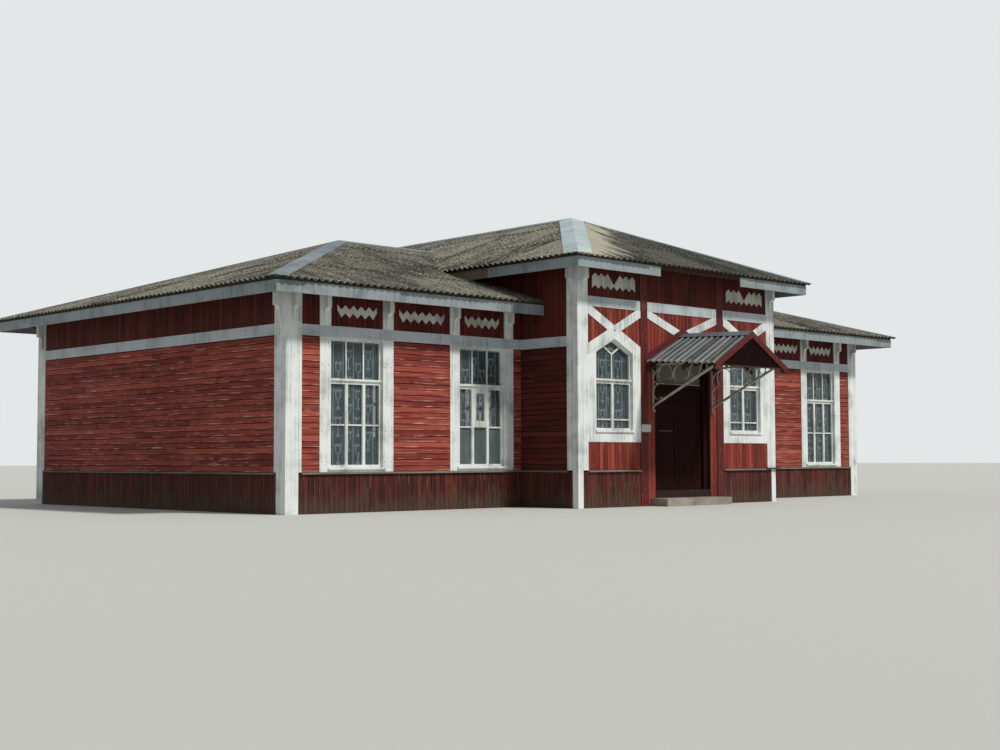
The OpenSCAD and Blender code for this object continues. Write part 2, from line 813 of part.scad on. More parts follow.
// Toothed board of the centre block, with a deep notch in its middle
module center_fret() difference() {
    translate([-center_fret_w / 2, 0]) polygon(concat(
        zigzag(center_fret_teeth, center_fret_w, center_fret_h / 2 - fret_notch, center_fret_h / 2),
        backwards(zigzag(center_fret_teeth, center_fret_w, -center_fret_h / 2, fret_notch - center_fret_h / 2))));
    polygon([[-fret_gap_half, center_fret_h / 2 + 1], [fret_gap_half, center_fret_h / 2 + 1],
            [0, fret_notch + fret_neck - center_fret_h / 2]]);
}

module fretwork() color(white) four_corners() {
    upright(-wing_half - fret_t, fret_t) translate([0, wing_fret_z]) {
        for (x = wing_window_xs) translate([x, 0]) wing_fret(wing_window_w - 2 * fret_margin, fret_teeth);
        translate([(wing_window_xs[0] + wing_window_xs[1]) / 2, 0])
            wing_fret(wing_window_xs[0] - wing_window_xs[1] - wing_window_w - 2 * wing_casing_w - 2 * fret_margin,
                fret_teeth + 1);
    }
    upright(front_y - fret_t, fret_t) translate([pointed_x, center_fret_z]) center_fret();
}

// Sashes of a wing window at x: three thin lights over a transom with a drip, and three columns below it
module wing_sash(x, vent = false) {
    half = wing_window_w / 2;
    column_x = half / 3;
    upright(-wing_half + sash_back + sash_t - bar_t, bar_t) translate([x, 0]) {
        translate([-half + sash_w / 2, wing_bar_z - bar_w / 2]) square([2 * half - sash_w, bar_w]);
        for (side = [-1, 1]) translate([side * column_x - bar_w / 2, wing_transom_z])
            square([bar_w, wing_top_light - sash_w / 2]);
    }
    upright(-wing_half + sash_back, sash_t) translate([x, 0]) {
        difference() {
            wing_opening(0);
            wing_opening(-sash_w);
        }
        translate([-half, wing_transom_z - transom_h / 2]) square([2 * half, transom_h]);
        for (side = [-1, 1]) translate([side * column_x - mullion_w / 2, wing_window_z + sash_w / 2])
            square([mullion_w, wing_transom_z - wing_window_z - sash_w / 2]);
        if (vent) difference() {
            translate([-column_x, wing_bar_z]) square([2 * column_x, wing_transom_z - wing_bar_z]);
            translate([-vent_w / 2, (wing_bar_z + wing_transom_z - vent_h) / 2]) square([vent_w, vent_h]);
        }
    }
    span([x - half, -wing_half + sash_back - drip_out, wing_transom_z + transom_h / 2 - sill_h],
        [x + half, -wing_half + sash_back, wing_transom_z + transom_h / 2]);
}

module wing_window_sashes() color(white) {
    for (x = wing_window_xs) {
        wing_sash(x);
        both_sides() mirror([0, 1, 0]) wing_sash(x);
    }
    mirror([1, 0, 0]) {
        wing_sash(wing_window_xs[0]);
        wing_sash(wing_window_xs[1], true);
    }
}

module wing_window_glass() color("#26302f") four_corners() for (x = wing_window_xs)
    span([x - wing_window_w / 2, -wing_half + sash_back + sash_t, wing_window_z],
        [x + wing_window_w / 2, -wing_half + sash_back + sash_t + glass_t, wing_window_head]);

module pointed_sash() {
    upright(front_y + sash_back + sash_t - bar_t, bar_t) translate([pointed_x, 0]) intersection() {
        pointed_outline(sash_w / 2);
        union() {
            translate([-pointed_w / 2, pointed_bar_z - bar_w / 2]) square([pointed_w, bar_w]);
            translate([-bar_w / 2, pointed_transom_z]) square([bar_w, rhomb_foot_z - pointed_transom_z]);
            both_sides() rising_board(0, pointed_w / 4, rhomb_foot_z, rhomb_side_z, bar_w / cos(rhomb_angle));
        }
    }
    upright(front_y + sash_back, sash_t) translate([pointed_x, 0]) {
        difference() {
            pointed_outline(0);
            pointed_outline(sash_w);
        }
        translate([-pointed_w / 2, pointed_transom_z - transom_h / 2]) square([pointed_w, transom_h]);
        translate([-mullion_w / 2, pointed_z]) square([mullion_w, pointed_transom_h]);
    }
    span([pointed_x - pointed_w / 2, front_y + sash_back - drip_out, pointed_transom_z + transom_h / 2 - sill_h],
        [pointed_x + pointed_w / 2, front_y + sash_back, pointed_transom_z + transom_h / 2]);
}

module center_window_sashes() color(white) four_corners() pointed_sash();

module center_window_glass() color("#26302f") four_corners()
    upright(front_y + sash_back + sash_t, glass_t) translate([pointed_x, 0]) pointed_outline(0);

// Hinges: knuckles on one upright pin line inside the door frame
knuckle_r = 9;
knuckle_h = 60;
hinge_gap = 0.3;
hinge_plate_w = 50;
hinge_plate_t = 4;
hinge_line_x = door_w / 2 - door_frame_w - leaf_gap / 2;
hinge_line_y = door_inner_y + knuckle_r;
hinge_inset = 220;
hinge_levels = [leaf_z + hinge_inset, leaf_z + leaf_h - hinge_inset];

module frame_knuckle(z) {
    translate([hinge_line_x, hinge_line_y, z - knuckle_h]) cylinder(h = knuckle_h, r = knuckle_r);
    span([hinge_line_x, door_inner_y, z - knuckle_h],
        [hinge_line_x + hinge_plate_w, door_inner_y + hinge_plate_t, z]);
}

module leaf_knuckle(z) {
    translate([hinge_line_x, hinge_line_y, z + hinge_gap]) cylinder(h = knuckle_h, r = knuckle_r);
    span([hinge_line_x - hinge_plate_w, door_inner_y, z + hinge_gap],
        [hinge_line_x, door_inner_y + hinge_plate_t, z + hinge_gap + knuckle_h]);
}

module door_posts() {
    upright(front_y + door_back, door_frame_d) {
        difference() {
            translate([-door_w / 2, floor_z]) square([door_w, door_h]);
            translate([-door_w / 2 + door_frame_w, floor_z - 1])
                square([door_w - 2 * door_frame_w, door_h - door_head_h + 1]);
        }
        translate([-door_w / 2 + door_frame_w, door_bar_z]) square([door_w - 2 * door_frame_w, door_bar_h]);
    }
    upright(door_inner_y - bar_t, bar_t) for (side = [-1, 1])
        translate([side * (door_w / 2 - door_frame_w) / 3 - bar_w / 2, door_bar_z + door_bar_h / 2])
            square([bar_w, door_top - door_head_h / 2 - door_bar_z - door_bar_h / 2]);
}

module door_frame() color(dark_red) {
    door_posts();
    both_sides() for (z = hinge_levels) frame_knuckle(z);
}

module transom_glass() color("#6f7b74") both_fronts()
    span([-door_w / 2 + door_frame_w / 2, door_inner_y, door_bar_z + door_bar_h / 2],
        [door_w / 2 - door_frame_w / 2, door_inner_y + glass_t, door_top - door_head_h / 2]);

// Stiles and rails of a leaf round two panels, from x1 to x2
module leaf_frame(x1, x2, z1, z2) difference() {
    translate([x1, z1]) square([x2 - x1, z2 - z1]);
    translate([x1 + stile_w, z1 + 2 * stile_w]) square([x2 - x1 - 2 * stile_w, leaf_rail_z - z1 - 2 * stile_w]);
    translate([x1 + stile_w, leaf_rail_z + stile_w])
        square([x2 - x1 - 2 * stile_w, z2 - leaf_rail_z - 2 * stile_w]);
}

// One leaf between two edges, with panels set back from both faces
module leaf_body(x1, x2, z1, z2) {
    upright(door_inner_y - leaf_t, leaf_t) leaf_frame(x1, x2, z1, z2);
    upright(door_inner_y - leaf_t + panel_drop, leaf_t - 2 * panel_drop)
        translate([x1 + stile_w / 2, z1 + stile_w / 2]) square([x2 - x1 - stile_w, z2 - z1 - stile_w]);
}

// Level of the underside of the rail between the two panels
leaf_rail_z = leaf_z + leaf_h - top_panel_h - 2 * stile_w;
meeting_gap = 12;

// Right door leaf, shut
module door_leaf() {
    leaf_body(meeting_gap / 2, hinge_x, leaf_z, leaf_z + leaf_h);
    for (z = hinge_levels) leaf_knuckle(z);
}

module door_leaf_left() color(dark_red) mirror([1, 0, 0]) door_leaf();
module door_leaf_right() color(dark_red) door_leaf();

module rear_door() color(dark_red) mirror([0, 1, 0]) {
    door_posts();
    both_sides() leaf_body(0, door_w / 2 - door_frame_w, floor_z, door_bar_z);
}

module door_steps() color("#8b8578") both_fronts()
    span([-door_w / 2 - step_side, front_y - trim_t - step_d, 0], [door_w / 2 + step_side, front_y, step_h]);

// Chevron in X and Z that follows the canopy slopes: its top lies drop under the sheet tops
module canopy_chevron(half, drop, tall) {
    top = canopy_apex_z - drop;
    polygon([[0, top], [half, top - half * canopy_rise], [half, top - half * canopy_rise - tall],
        [0, top - tall], [-half, top - half * canopy_rise - tall], [-half, top - half * canopy_rise]]);
}

// Line of the strut: it leaves the wall bar at its foot and meets the rail near the front
strut_lift = 50;
strut_foot_z = bracket_foot_z + strut_lift;
strut_out = canopy_d - 2 * board_t - rafter_w - strut_dia / 2;
strut_rise = bracket_top_z - bracket_bar / 2 - strut_foot_z;
function strut_z(u) = strut_foot_z + strut_rise * u / strut_out;
function strut_top(u) = strut_z(u) + strut_dia / 2;
curl_r = 38;
rail_under_z = bracket_top_z - bracket_bar + scroll_w / 3;

// Distances of the four rings from the wall, as shares of the reach of the strut
ring_shares = [0.212, 0.457, 0.664, 0.8];
ring_us = [for (share = ring_shares) share * strut_out];
// Radius of the ring that fills the gap between rail and strut at u, up to the largest ring
function ring_fit(u) = min(ring_r, (rail_under_z - strut_top(u)) / 2);

// The middle rafter stands between two rings of the brackets
chevron_ys = [canopy_front_y + 2 * board_t, front_y - (ring_us[1] + ring_us[2] + rafter_w) / 2, rafter_back - rafter_w];
gable_foot_z = canopy_apex_z - gable_drop;
batten_h = 26;

// Rafters, notched over the rails of the brackets, and the batten under the gable boards
module canopy_frame() color("#5f4a3f") both_fronts() {
    difference() {
        for (y = chevron_ys) upright(y, rafter_w)
            canopy_chevron(canopy_half - board_t, sheet_drop + seat, rafter_drop);
        both_sides() span([bracket_x - bracket_bar / 2, canopy_front_y, bracket_top_z - bracket_bar],
            [bracket_x + bracket_bar / 2, front_y, canopy_apex_z]);
    }
    span([-gable_half, canopy_front_y + board_t, gable_foot_z - batten_h],
        [gable_half, canopy_front_y + 2 * board_t, gable_foot_z]);
}

function wave_n(y) = (wave_h - canopy_sheet_t) * (1 - cos(360 * y / wave_w)) / 2;
function wave_line(up) = [for (i = [0 : wave_points])
    [i * wave_w / wave_steps, wave_n(i * wave_w / wave_steps) + up]];
function backwards(list) = [for (i = [len(list) - 1 : -1 : 0]) list[i]];

module canopy_sheets() color("#9aa0a2") both_fronts() both_sides()
    translate([0, rafter_back - wave_points * wave_w / wave_steps, rafter_top_z + seat]) rotate([0, canopy_pitch, 0])
        rotate([90, 0, 90]) linear_extrude(slope_l)
            polygon(concat(wave_line(0), backwards(wave_line(canopy_sheet_t))));

module canopy_ridge_caps() color(grey_metal) both_fronts()
    upright(canopy_front_y, rafter_back - canopy_front_y) canopy_chevron(canopy_cap_half, -cap_h - seat, cap_h);

module canopy_rake_boards() color(dark_red) both_fronts() {
    upright(canopy_front_y, board_t) canopy_chevron(canopy_half + board_t, 0, rake_h / cos(canopy_pitch));
    difference() {
        upright(rafter_back, board_t) canopy_chevron(canopy_half + board_t, -canopy_board_h, 2 * canopy_board_h);
        both_sides() span([bracket_x - bracket_bar / 2, rafter_back - cut, bracket_foot_z],
            [bracket_x + bracket_bar / 2, front_y, bracket_top_z]);
    }
}

gable_half = (rafter_top_z - gable_foot_z) / canopy_rise;

module canopy_gable_boards() color("#4a1413") both_fronts() upright(canopy_front_y + board_t, board_t)
    polygon([[0, rafter_top_z], [gable_half, gable_foot_z], [-gable_half, gable_foot_z]]);

// Part of a flat ring of iron between two angles, with its middle at (u, z)
module iron_arc(u, z, r, a1, a2) translate([u, z]) intersection() {
    difference() {
        circle(r);
        circle(r - scroll_w);
    }
    polygon(concat([[0, 0]], [for (i = [0 : 6]) 2 * r * [cos(a1 + i * (a2 - a1) / 6), sin(a1 + i * (a2 - a1) / 6)]]));
}

module iron_ring(u, z, r) translate([u, z]) difference() {
    circle(r);
    circle(r - scroll_w);
}

// Lower scroll, open to the front, that stands on the strut beside the wall bar
low_r = 158;
low_u = bracket_bar + low_r - scroll_w / 2;
low_z = strut_top(low_u) + low_r;

// Scrolls of one bracket, drawn out from the wall in u and up in z
module scrolls() {
    iron_arc(ring_us[0], rail_under_z - ring_r, ring_r, -30, 255);
    for (i = [2, 3]) iron_ring(ring_us[i], rail_under_z - ring_fit(ring_us[i]), ring_fit(ring_us[i]));
    iron_arc(ring_us[1], rail_under_z - ring_r, ring_r, -40, 215);
    iron_ring(ring_us[1] + ring_r * cos(40) - curl_r + scroll_w / 2, rail_under_z - ring_r * (1 + sin(40)), curl_r);
    iron_arc(low_u, low_z, low_r, 100, 265);
    iron_ring(low_u, low_z - low_r + curl_r, curl_r);
    iron_ring(bracket_bar + curl_r - scroll_w / 2, low_z + low_r + curl_r, curl_r);
    iron_ring(curl_r + 1, bracket_foot_z - curl_r + scroll_w, curl_r);
}

// One iron bracket on the right of the door
module bracket() {
    crosswise(bracket_x - bracket_bar / 2, bracket_bar) translate([front_y, 0]) {
        translate([-bracket_bar, bracket_foot_z]) square([bracket_bar, bracket_h]);
        translate([-canopy_d + 2 * board_t, bracket_top_z - bracket_bar]) square([canopy_d - 2 * board_t, bracket_bar]);
    }
    crosswise(bracket_x - scroll_t / 2, scroll_t) translate([front_y, 0]) mirror([1, 0]) scrolls();
    translate([bracket_x, front_y - bracket_bar / 2, strut_z(bracket_bar / 2)])
        rotate([90 - atan(strut_rise / strut_out), 0, 0])
            cylinder(h = norm([strut_out, strut_rise]) * (1 - bracket_bar / 2 / strut_out), d = strut_dia);
}

module canopy_brackets() color("#8f8b80") four_corners() bracket();

plinth();
floor();
left_wing_front_wall();
left_wing_end_wall();
left_wing_rear_wall();
right_wing_front_wall();
right_wing_end_wall();
right_wing_rear_wall();
left_side_wall();
right_side_wall();
front_wall_left();
front_wall_right();
front_wall_over_door();
rear_wall();
center_roof_deck();
wing_roof_deck();
center_roof_sheets();
wing_roof_sheets();
ridge_caps();
hip_flashings();
fascias();
ledge_boards();
frieze_bands();
corner_boards();
red_pilasters();
wing_window_casings();
center_window_casings();
crossed_braces();
eave_consoles();
fretwork();
wing_window_sashes();
center_window_sashes();
wing_window_glass();
center_window_glass();
door_frame();
transom_glass();
door_leaf_left();
door_leaf_right();
rear_door();
door_steps();
canopy_frame();
canopy_sheets();
canopy_ridge_caps();
canopy_rake_boards();
canopy_gable_boards();
canopy_brackets();
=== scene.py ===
"""The looks of the timber station building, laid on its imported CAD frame.

Lengths are in metres. The front of the building looks towards -Y and the ground is at z = 0.
"""
import logging
import math
import random
from dataclasses import dataclass, field
from enum import Enum
from typing import Callable, Sequence

import bmesh
import bpy
import numpy as np
from bpy.types import Material, Mesh, NodeSocket, NodeTree, Object
from mathutils import Matrix, Vector


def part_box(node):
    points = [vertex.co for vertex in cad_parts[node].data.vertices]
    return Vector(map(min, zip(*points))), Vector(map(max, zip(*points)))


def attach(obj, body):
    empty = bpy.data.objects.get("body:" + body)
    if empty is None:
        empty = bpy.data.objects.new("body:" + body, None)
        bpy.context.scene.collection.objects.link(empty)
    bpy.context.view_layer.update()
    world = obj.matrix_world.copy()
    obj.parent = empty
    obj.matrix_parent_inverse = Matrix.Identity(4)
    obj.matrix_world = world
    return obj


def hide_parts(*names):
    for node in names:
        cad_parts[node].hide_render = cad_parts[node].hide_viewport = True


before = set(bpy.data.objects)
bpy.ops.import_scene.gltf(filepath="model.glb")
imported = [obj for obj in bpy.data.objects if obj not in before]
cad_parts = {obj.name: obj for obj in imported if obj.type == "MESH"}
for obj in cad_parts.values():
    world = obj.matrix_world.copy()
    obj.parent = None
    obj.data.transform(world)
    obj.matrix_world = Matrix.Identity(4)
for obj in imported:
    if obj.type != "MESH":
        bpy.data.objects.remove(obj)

LOG = logging.getLogger("station")
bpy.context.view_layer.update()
UP = Vector((0, 0, 1))
HALF_TURN = Matrix.Rotation(math.pi, 4, "Z")
OTHER_SIDE = Matrix.Diagonal((-1, 1, 1, 1))


# Small helpers

def linear(hex_text: str) -> tuple[float, float, float, float]:
    """Turns an sRGB hex value such as "#a0a0a0" into a linear colour with alpha 1.

    Args:
        hex_text: The sRGB colour.
    Returns:
        Red, green, blue and alpha, linear.
    """
    def channel(pair: str) -> float:
        """One channel, linear."""
        c = int(pair, 16) / 255
        return c / 12.92 if c <= 0.04045 else ((c + 0.055) / 1.055) ** 2.4

    return channel(hex_text[1:3]), channel(hex_text[3:5]), channel(hex_text[5:7]), 1.0


def deselect_all() -> None:
    """Leaves object mode with nothing selected."""
    if bpy.context.object and bpy.context.object.mode != "OBJECT":
        bpy.ops.object.mode_set(mode="OBJECT")
    bpy.ops.object.select_all(action="DESELECT")


def activate(obj: Object) -> None:
    """Leaves object mode with one object selected and active."""
    deselect_all()
    obj.select_set(True)
    bpy.context.view_layer.objects.active = obj


def settle(obj: Object) -> Object:
    """Puts an object's place, turn and size into its mesh.

    Args:
        obj: A mesh object.
    Returns:
        The same object, at the origin.
    """
    obj.data.transform(obj.matrix_basis)
    obj.matrix_basis = Matrix.Identity(4)
    return obj


def apply_modifiers(obj: Object) -> None:
    """Applies every modifier of an object, in order.

    Args:
        obj: A mesh object.
    """
    activate(obj)
    for modifier in list(obj.modifiers):
        bpy.ops.object.modifier_apply(modifier=modifier.name)


def select_edges(obj: Object, chosen: Callable[[Vector, Vector], bool]) -> None:
    """Enters edit mode with only the chosen edges selected.

    Args:
        obj: A mesh object.
        chosen: Says of an edge's two ends whether it is wanted.
    """
    activate(obj)
    bpy.ops.object.mode_set(mode="EDIT")
    bpy.ops.mesh.select_mode(type="EDGE")
    bpy.ops.mesh.select_all(action="DESELECT")
    mesh = bmesh.from_edit_mesh(obj.data)
    for edge in mesh.edges:
        edge.select = chosen(edge.verts[0].co, edge.verts[1].co)
    mesh.select_flush_mode()
    bmesh.update_edit_mesh(obj.data)


def block(low: Sequence[float], high: Sequence[float], bevel: float = 0.0,
          chosen: Callable[[Vector, Vector], bool] | None = None) -> Object:
    """A cube added at its size and place, with its edges bevelled.

    Args:
        low: Lowest corner.
        high: Highest corner.
        bevel: Width of the bevel, or 0 for none.
        chosen: Says which edges get the bevel; all when left out.
    Returns:
        The new mesh object.
    """
    deselect_all()
    middle = [(a + b) / 2 for a, b in zip(low, high)]
    bpy.ops.mesh.primitive_cube_add(size=1, location=middle)
    obj = bpy.context.object
    obj.scale = [b - a for a, b in zip(low, high)]
    settle(obj)
    if bevel:
        select_edges(obj, chosen or (lambda a, b: True))
        bpy.ops.mesh.bevel(offset=bevel, segments=1)
        bpy.ops.object.mode_set(mode="OBJECT")
    return obj


def cut_off(obj: Object, place: Sequence[float], outward: Sequence[float]) -> None:
    """Cuts away all of a mesh on the outward side of a plane.

    Args:
        obj: A mesh object.
        place: A point of the plane.
        outward: The plane's normal, towards what goes.
    """
    activate(obj)
    bpy.ops.object.mode_set(mode="EDIT")
    bpy.ops.mesh.select_all(action="SELECT")
    bpy.ops.mesh.bisect(plane_co=place, plane_no=outward, clear_outer=True)
    bpy.ops.object.mode_set(mode="OBJECT")


def joined(objects: list[Object], name: str) -> Object:
    """Joins mesh objects into the first and names it.

    Args:
        objects: Mesh objects without modifiers.
        name: Name of the piece.
    Returns:
        The joined object.
    """
    deselect_all()
    for obj in objects:
        obj.select_set(True)
    bpy.context.view_layer.objects.active = objects[0]
    if len(objects) > 1:
        bpy.ops.object.join()
    obj = bpy.context.object
    obj.name = obj.data.name = name
    return settle(obj)


def twin(obj: Object, turn: Matrix = Matrix.Identity(4)) -> Object:
    """A copy of an object with a mesh of its own.

    Args:
        obj: A mesh object.
        turn: Moves the copy; where it mirrors, the faces are turned out again.
    Returns:
        The copy.
    """
    new = obj.copy()
    new.data = obj.data.copy()
    new.data.transform(turn)
    if turn.determinant() < 0:
        new.data.flip_normals()
    bpy.context.scene.collection.objects.link(new)
    return new


def with_copies(parts: list[Object], turn: Matrix) -> list[Object]:
    """Parts, and after them a moved copy of each."""
    return parts + [twin(part, turn) for part in parts]


def fourfold(parts: list[Object]) -> list[Object]:
    """Parts at one side of the front door, with copies at its other side and at the rear."""
    return with_copies(with_copies(parts, OTHER_SIDE), HALF_TURN)


def smooth(obj: Object, degrees: float) -> None:
    """Shades an object smooth, apart from creases of more than an angle."""
    obj.data.shade_smooth()
    obj.data.set_sharp_from_angle(angle=math.radians(degrees))


def carry(mesh: Mesh, label: str, values: np.ndarray) -> None:
    """Stores a number for every point of a mesh under a label that finishes read."""
    mesh.attributes.new(label, "FLOAT", "POINT").data.foreach_set("value", values)


def strip(low: Sequence[Sequence[float]], high: Sequence[Sequence[float]]) -> Object:
    """A strip of faces between two rows of points.

    Args:
        low: Points of one edge.
        high: Points of the other edge, as many.
    Returns:
        The strip as a mesh object, without thickness.
    """
    deselect_all()
    last = len(low) - 1
    bpy.ops.mesh.primitive_grid_add(x_subdivisions=last, y_subdivisions=1, size=1, location=(0, 0, 0))
    obj = bpy.context.object
    for vertex in obj.data.vertices:
        i = round((vertex.co.x + 0.5) * last)
        vertex.co = high[i] if vertex.co.y > 0 else low[i]
    return obj


class Pattern:
    """A modelled thing kept as points and faces, ready to be copied many times."""

    def __init__(self, obj: Object) -> None:
        """Takes the mesh of obj and removes the object.

        Args:
            obj: The modelled thing, in place about the origin.
        """
        mesh = obj.data
        self.points = np.array([v.co for v in mesh.vertices], float)
        self.faces = [tuple(p.vertices) for p in mesh.polygons]
        low, high = self.points[:, 2].min(), self.points[:, 2].max()
        self.across = (self.points[:, 2] - low) / (high - low)
        bpy.data.objects.remove(obj)
        bpy.data.meshes.remove(mesh)


@dataclass
class Copies:
    """Gathers copies of patterns into one mesh, each with a tone of its own."""

    points: list[np.ndarray] = field(default_factory=list)
    faces: list[tuple[int, ...]] = field(default_factory=list)
    tones: list[np.ndarray] = field(default_factory=list)
    acrosses: list[np.ndarray] = field(default_factory=list)
    count: int = 0

    def add(self, pattern: Pattern, origin: Sequence[float], axes: Sequence[Vector],
            tone: float = 0.5) -> None:
        """Adds one copy.

        Args:
            pattern: The thing to copy.
            origin: Where the pattern's origin goes.
            axes: Where the pattern's X, Y and Z go, with their lengths.
            tone: A number between 0 and 1 that its finish reads.
        """
        turn = np.array([tuple(axis) for axis in axes], float)
        self.points.append(pattern.points @ turn + np.array(origin, float))
        self.faces += [tuple(i + self.count for i in f) for f in pattern.faces]
        self.tones.append(np.full(len(pattern.points), tone))
        self.acrosses.append(pattern.across)
        self.count += len(pattern.points)

    def piece(self, name: str) -> Object:
        """Makes the gathered copies one mesh object.

        Args:
            name: Name of the piece.
        Returns:
            The new object, with the attributes "tone" and "across" on its points.
        """
        mesh = bpy.data.meshes.new(name)
        mesh.from_pydata(np.concatenate(self.points).tolist(), [], self.faces)
        carry(mesh, "tone", np.concatenate(self.tones))
        carry(mesh, "across", np.concatenate(self.acrosses))
        obj = bpy.data.objects.new(name, mesh)
        bpy.context.scene.collection.objects.link(obj)
        return obj


# Finishes

class Grain(Enum):
    """Which way the grain of a board runs, as strokes in 1/m along X, Y and Z."""

    LEVEL = (1.1, 1.1, 60.0)
    UPRIGHT = (60.0, 60.0, 1.2)
    MIXED = (30.0, 30.0, 9.0)

    @property
    def flakes(self) -> tuple[float, float, float]:
        """Scale in 1/m of the places bare of paint, long along the grain and short across it."""
        return tuple(44.0 if strokes > 20 else 2.6 for strokes in self.value)


class Nodes:
    """A node tree that is filled through one function."""

    def __init__(self, tree: NodeTree) -> None:
        """Takes the node tree of a material or of the surround."""
        self.tree = tree

    def feed(self, socket: NodeSocket, value: object) -> None:
        """Links a socket or sets it.

        Args:
            socket: The input.
            value: An output socket, a number, a vector, or a text with an sRGB hex value.
        """
        if isinstance(value, NodeSocket):
            self.tree.links.new(value, socket)
        else:
            socket.default_value = linear(value) if isinstance(value, str) else value

    def add(self, kind: str, inputs: dict[int | str, object] | None = None, out: int | str = 0,
            **settings: object) -> NodeSocket:
        """Adds a node with its settings and links.

        Args:
            kind: The node's type, without the word ShaderNode before it.
            inputs: Values or output sockets by input name or number.
            out: Name or number of the output that is wanted.
            settings: Attributes of the node.
        Returns:
            The output socket.
        """
        new = self.tree.nodes.new(f"ShaderNode{kind}")
        for key, value in settings.items():
            setattr(new, key, value)
        for key, value in (inputs or {}).items():
            self.feed(new.inputs[key], value)
        return new.outputs[out]


class Shader(Nodes):
    """The node tree of one material, ended by a Principled shader."""

    def __init__(self, name: str) -> None:
        """Starts a material.

        Args:
            name: Name of the material.
        """
        self.material = bpy.data.materials.new(name)
        self.material.use_nodes = True
        super().__init__(self.material.node_tree)
        self.surface = self.tree.nodes["Principled BSDF"]
        self.place = self.add("TexCoord", out="Object")

    def axes(self) -> list[NodeSocket]:
        """X, Y and Z of the place."""
        return [self.add("SeparateXYZ", {0: self.place}, axis) for axis in "XYZ"]

    def carried(self, *labels: str) -> list[NodeSocket]:
        """The numbers that the mesh carries under some labels."""
        return [self.add("Attribute", out="Fac", attribute_name=label) for label in labels]

    def pattern(self, strokes: Sequence[float] = (1, 1, 1), scale: float = 1.0, detail: float = 3.0,
                rough: float = 0.55, shift: float = 0.0) -> NodeSocket:
        """Clouds or strokes that stay in place on the building.

        Args:
            strokes: Scale in 1/m along X, Y and Z.
            scale: A factor on all three.
            detail: How many finer octaves there are.
            rough: How strong the finer octaves are.
            shift: How far boards of different tone move apart.
        Returns:
            A value that lies about 0.5.
        """
        vector = self.place
        if shift:
            apart = self.product(*self.carried("tone"), shift)
            vector = self.add("VectorMath", {0: vector, 1: apart}, operation="ADD")
        vector = self.add("Mapping", {"Vector": vector, "Scale": strokes})
        return self.add("TexNoise", {"Vector": vector, "Scale": scale, "Detail": detail, "Roughness": rough})

    def product(self, *factors: object) -> object:
        """Multiplies values.

        Args:
            factors: Numbers or sockets; a factor of 1 adds no node.
        Returns:
            Their product.
        """
        whole = factors[0]
        for factor in factors[1:]:
            if factor != 1:
                whole = self.add("Math", {0: whole, 1: factor}, operation="MULTIPLY")
        return whole

    def total(self, *parts: tuple[object, float]) -> object:
        """Adds up values.

        Args:
            parts: Each value and its weight.
        Returns:
            Their weighted sum.
        """
        whole, *terms = [self.product(value, weight) for value, weight in parts]
        for term in terms:
            whole = self.add("Math", {0: whole, 1: term}, operation="ADD")
        return whole

    def share(self, value: object, low: float, high: float, most: float = 1.0) -> object:
        """How far a value has come from one limit to another, eased at both ends.

        Args:
            value: The value.
            low: Where the share is 0; it may be the greater limit.
            high: Where the share is full.
            most: The full share.
        Returns:
            The share.
        """
        eased = self.add("MapRange", {"Value": value, "From Min": low, "From Max": high},
                         interpolation_type="SMOOTHSTEP")
        return self.product(eased, most)

    def layers(self, ground: object, *coats: tuple[object, object]) -> object:
        """Lays coats over a ground, one after the other.

        Args:
            ground: The colour at the bottom.
            coats: How much of what is below each coat covers, and its colour.
        Returns:
            The colour that shows.
        """
        for share, coat in coats:
            ground = self.add("Mix", {0: share, 6: ground, 7: coat}, 2, data_type="RGBA")
        return ground

    def done(self, colour: object, roughness: object, metallic: float = 0.0, height: object = None,
             depth: float = 0.0, strength: float = 1.0, **constants: object) -> Material:
        """Feeds the Principled shader.

        Args:
            colour: Base colour.
            roughness: Roughness.
            metallic: Metallic.
            height: Relief between 0 and 1, if there is any.
            depth: How deep the relief is in metres.
            strength: How much of it the light sees.
            constants: Other sockets, by name with spaces as underscores.
        Returns:
            The material.
        """
        sockets = {"Base Color": colour, "Roughness": roughness, "Metallic": metallic}
        if height is not None:
            sockets["Normal"] = self.add("Bump", {"Height": height, "Distance": depth, "Strength": strength})
        sockets |= {key.replace("_", " "): value for key, value in constants.items()}
        for key, value in sockets.items():
            self.feed(self.surface.inputs[key], value)
        return self.material


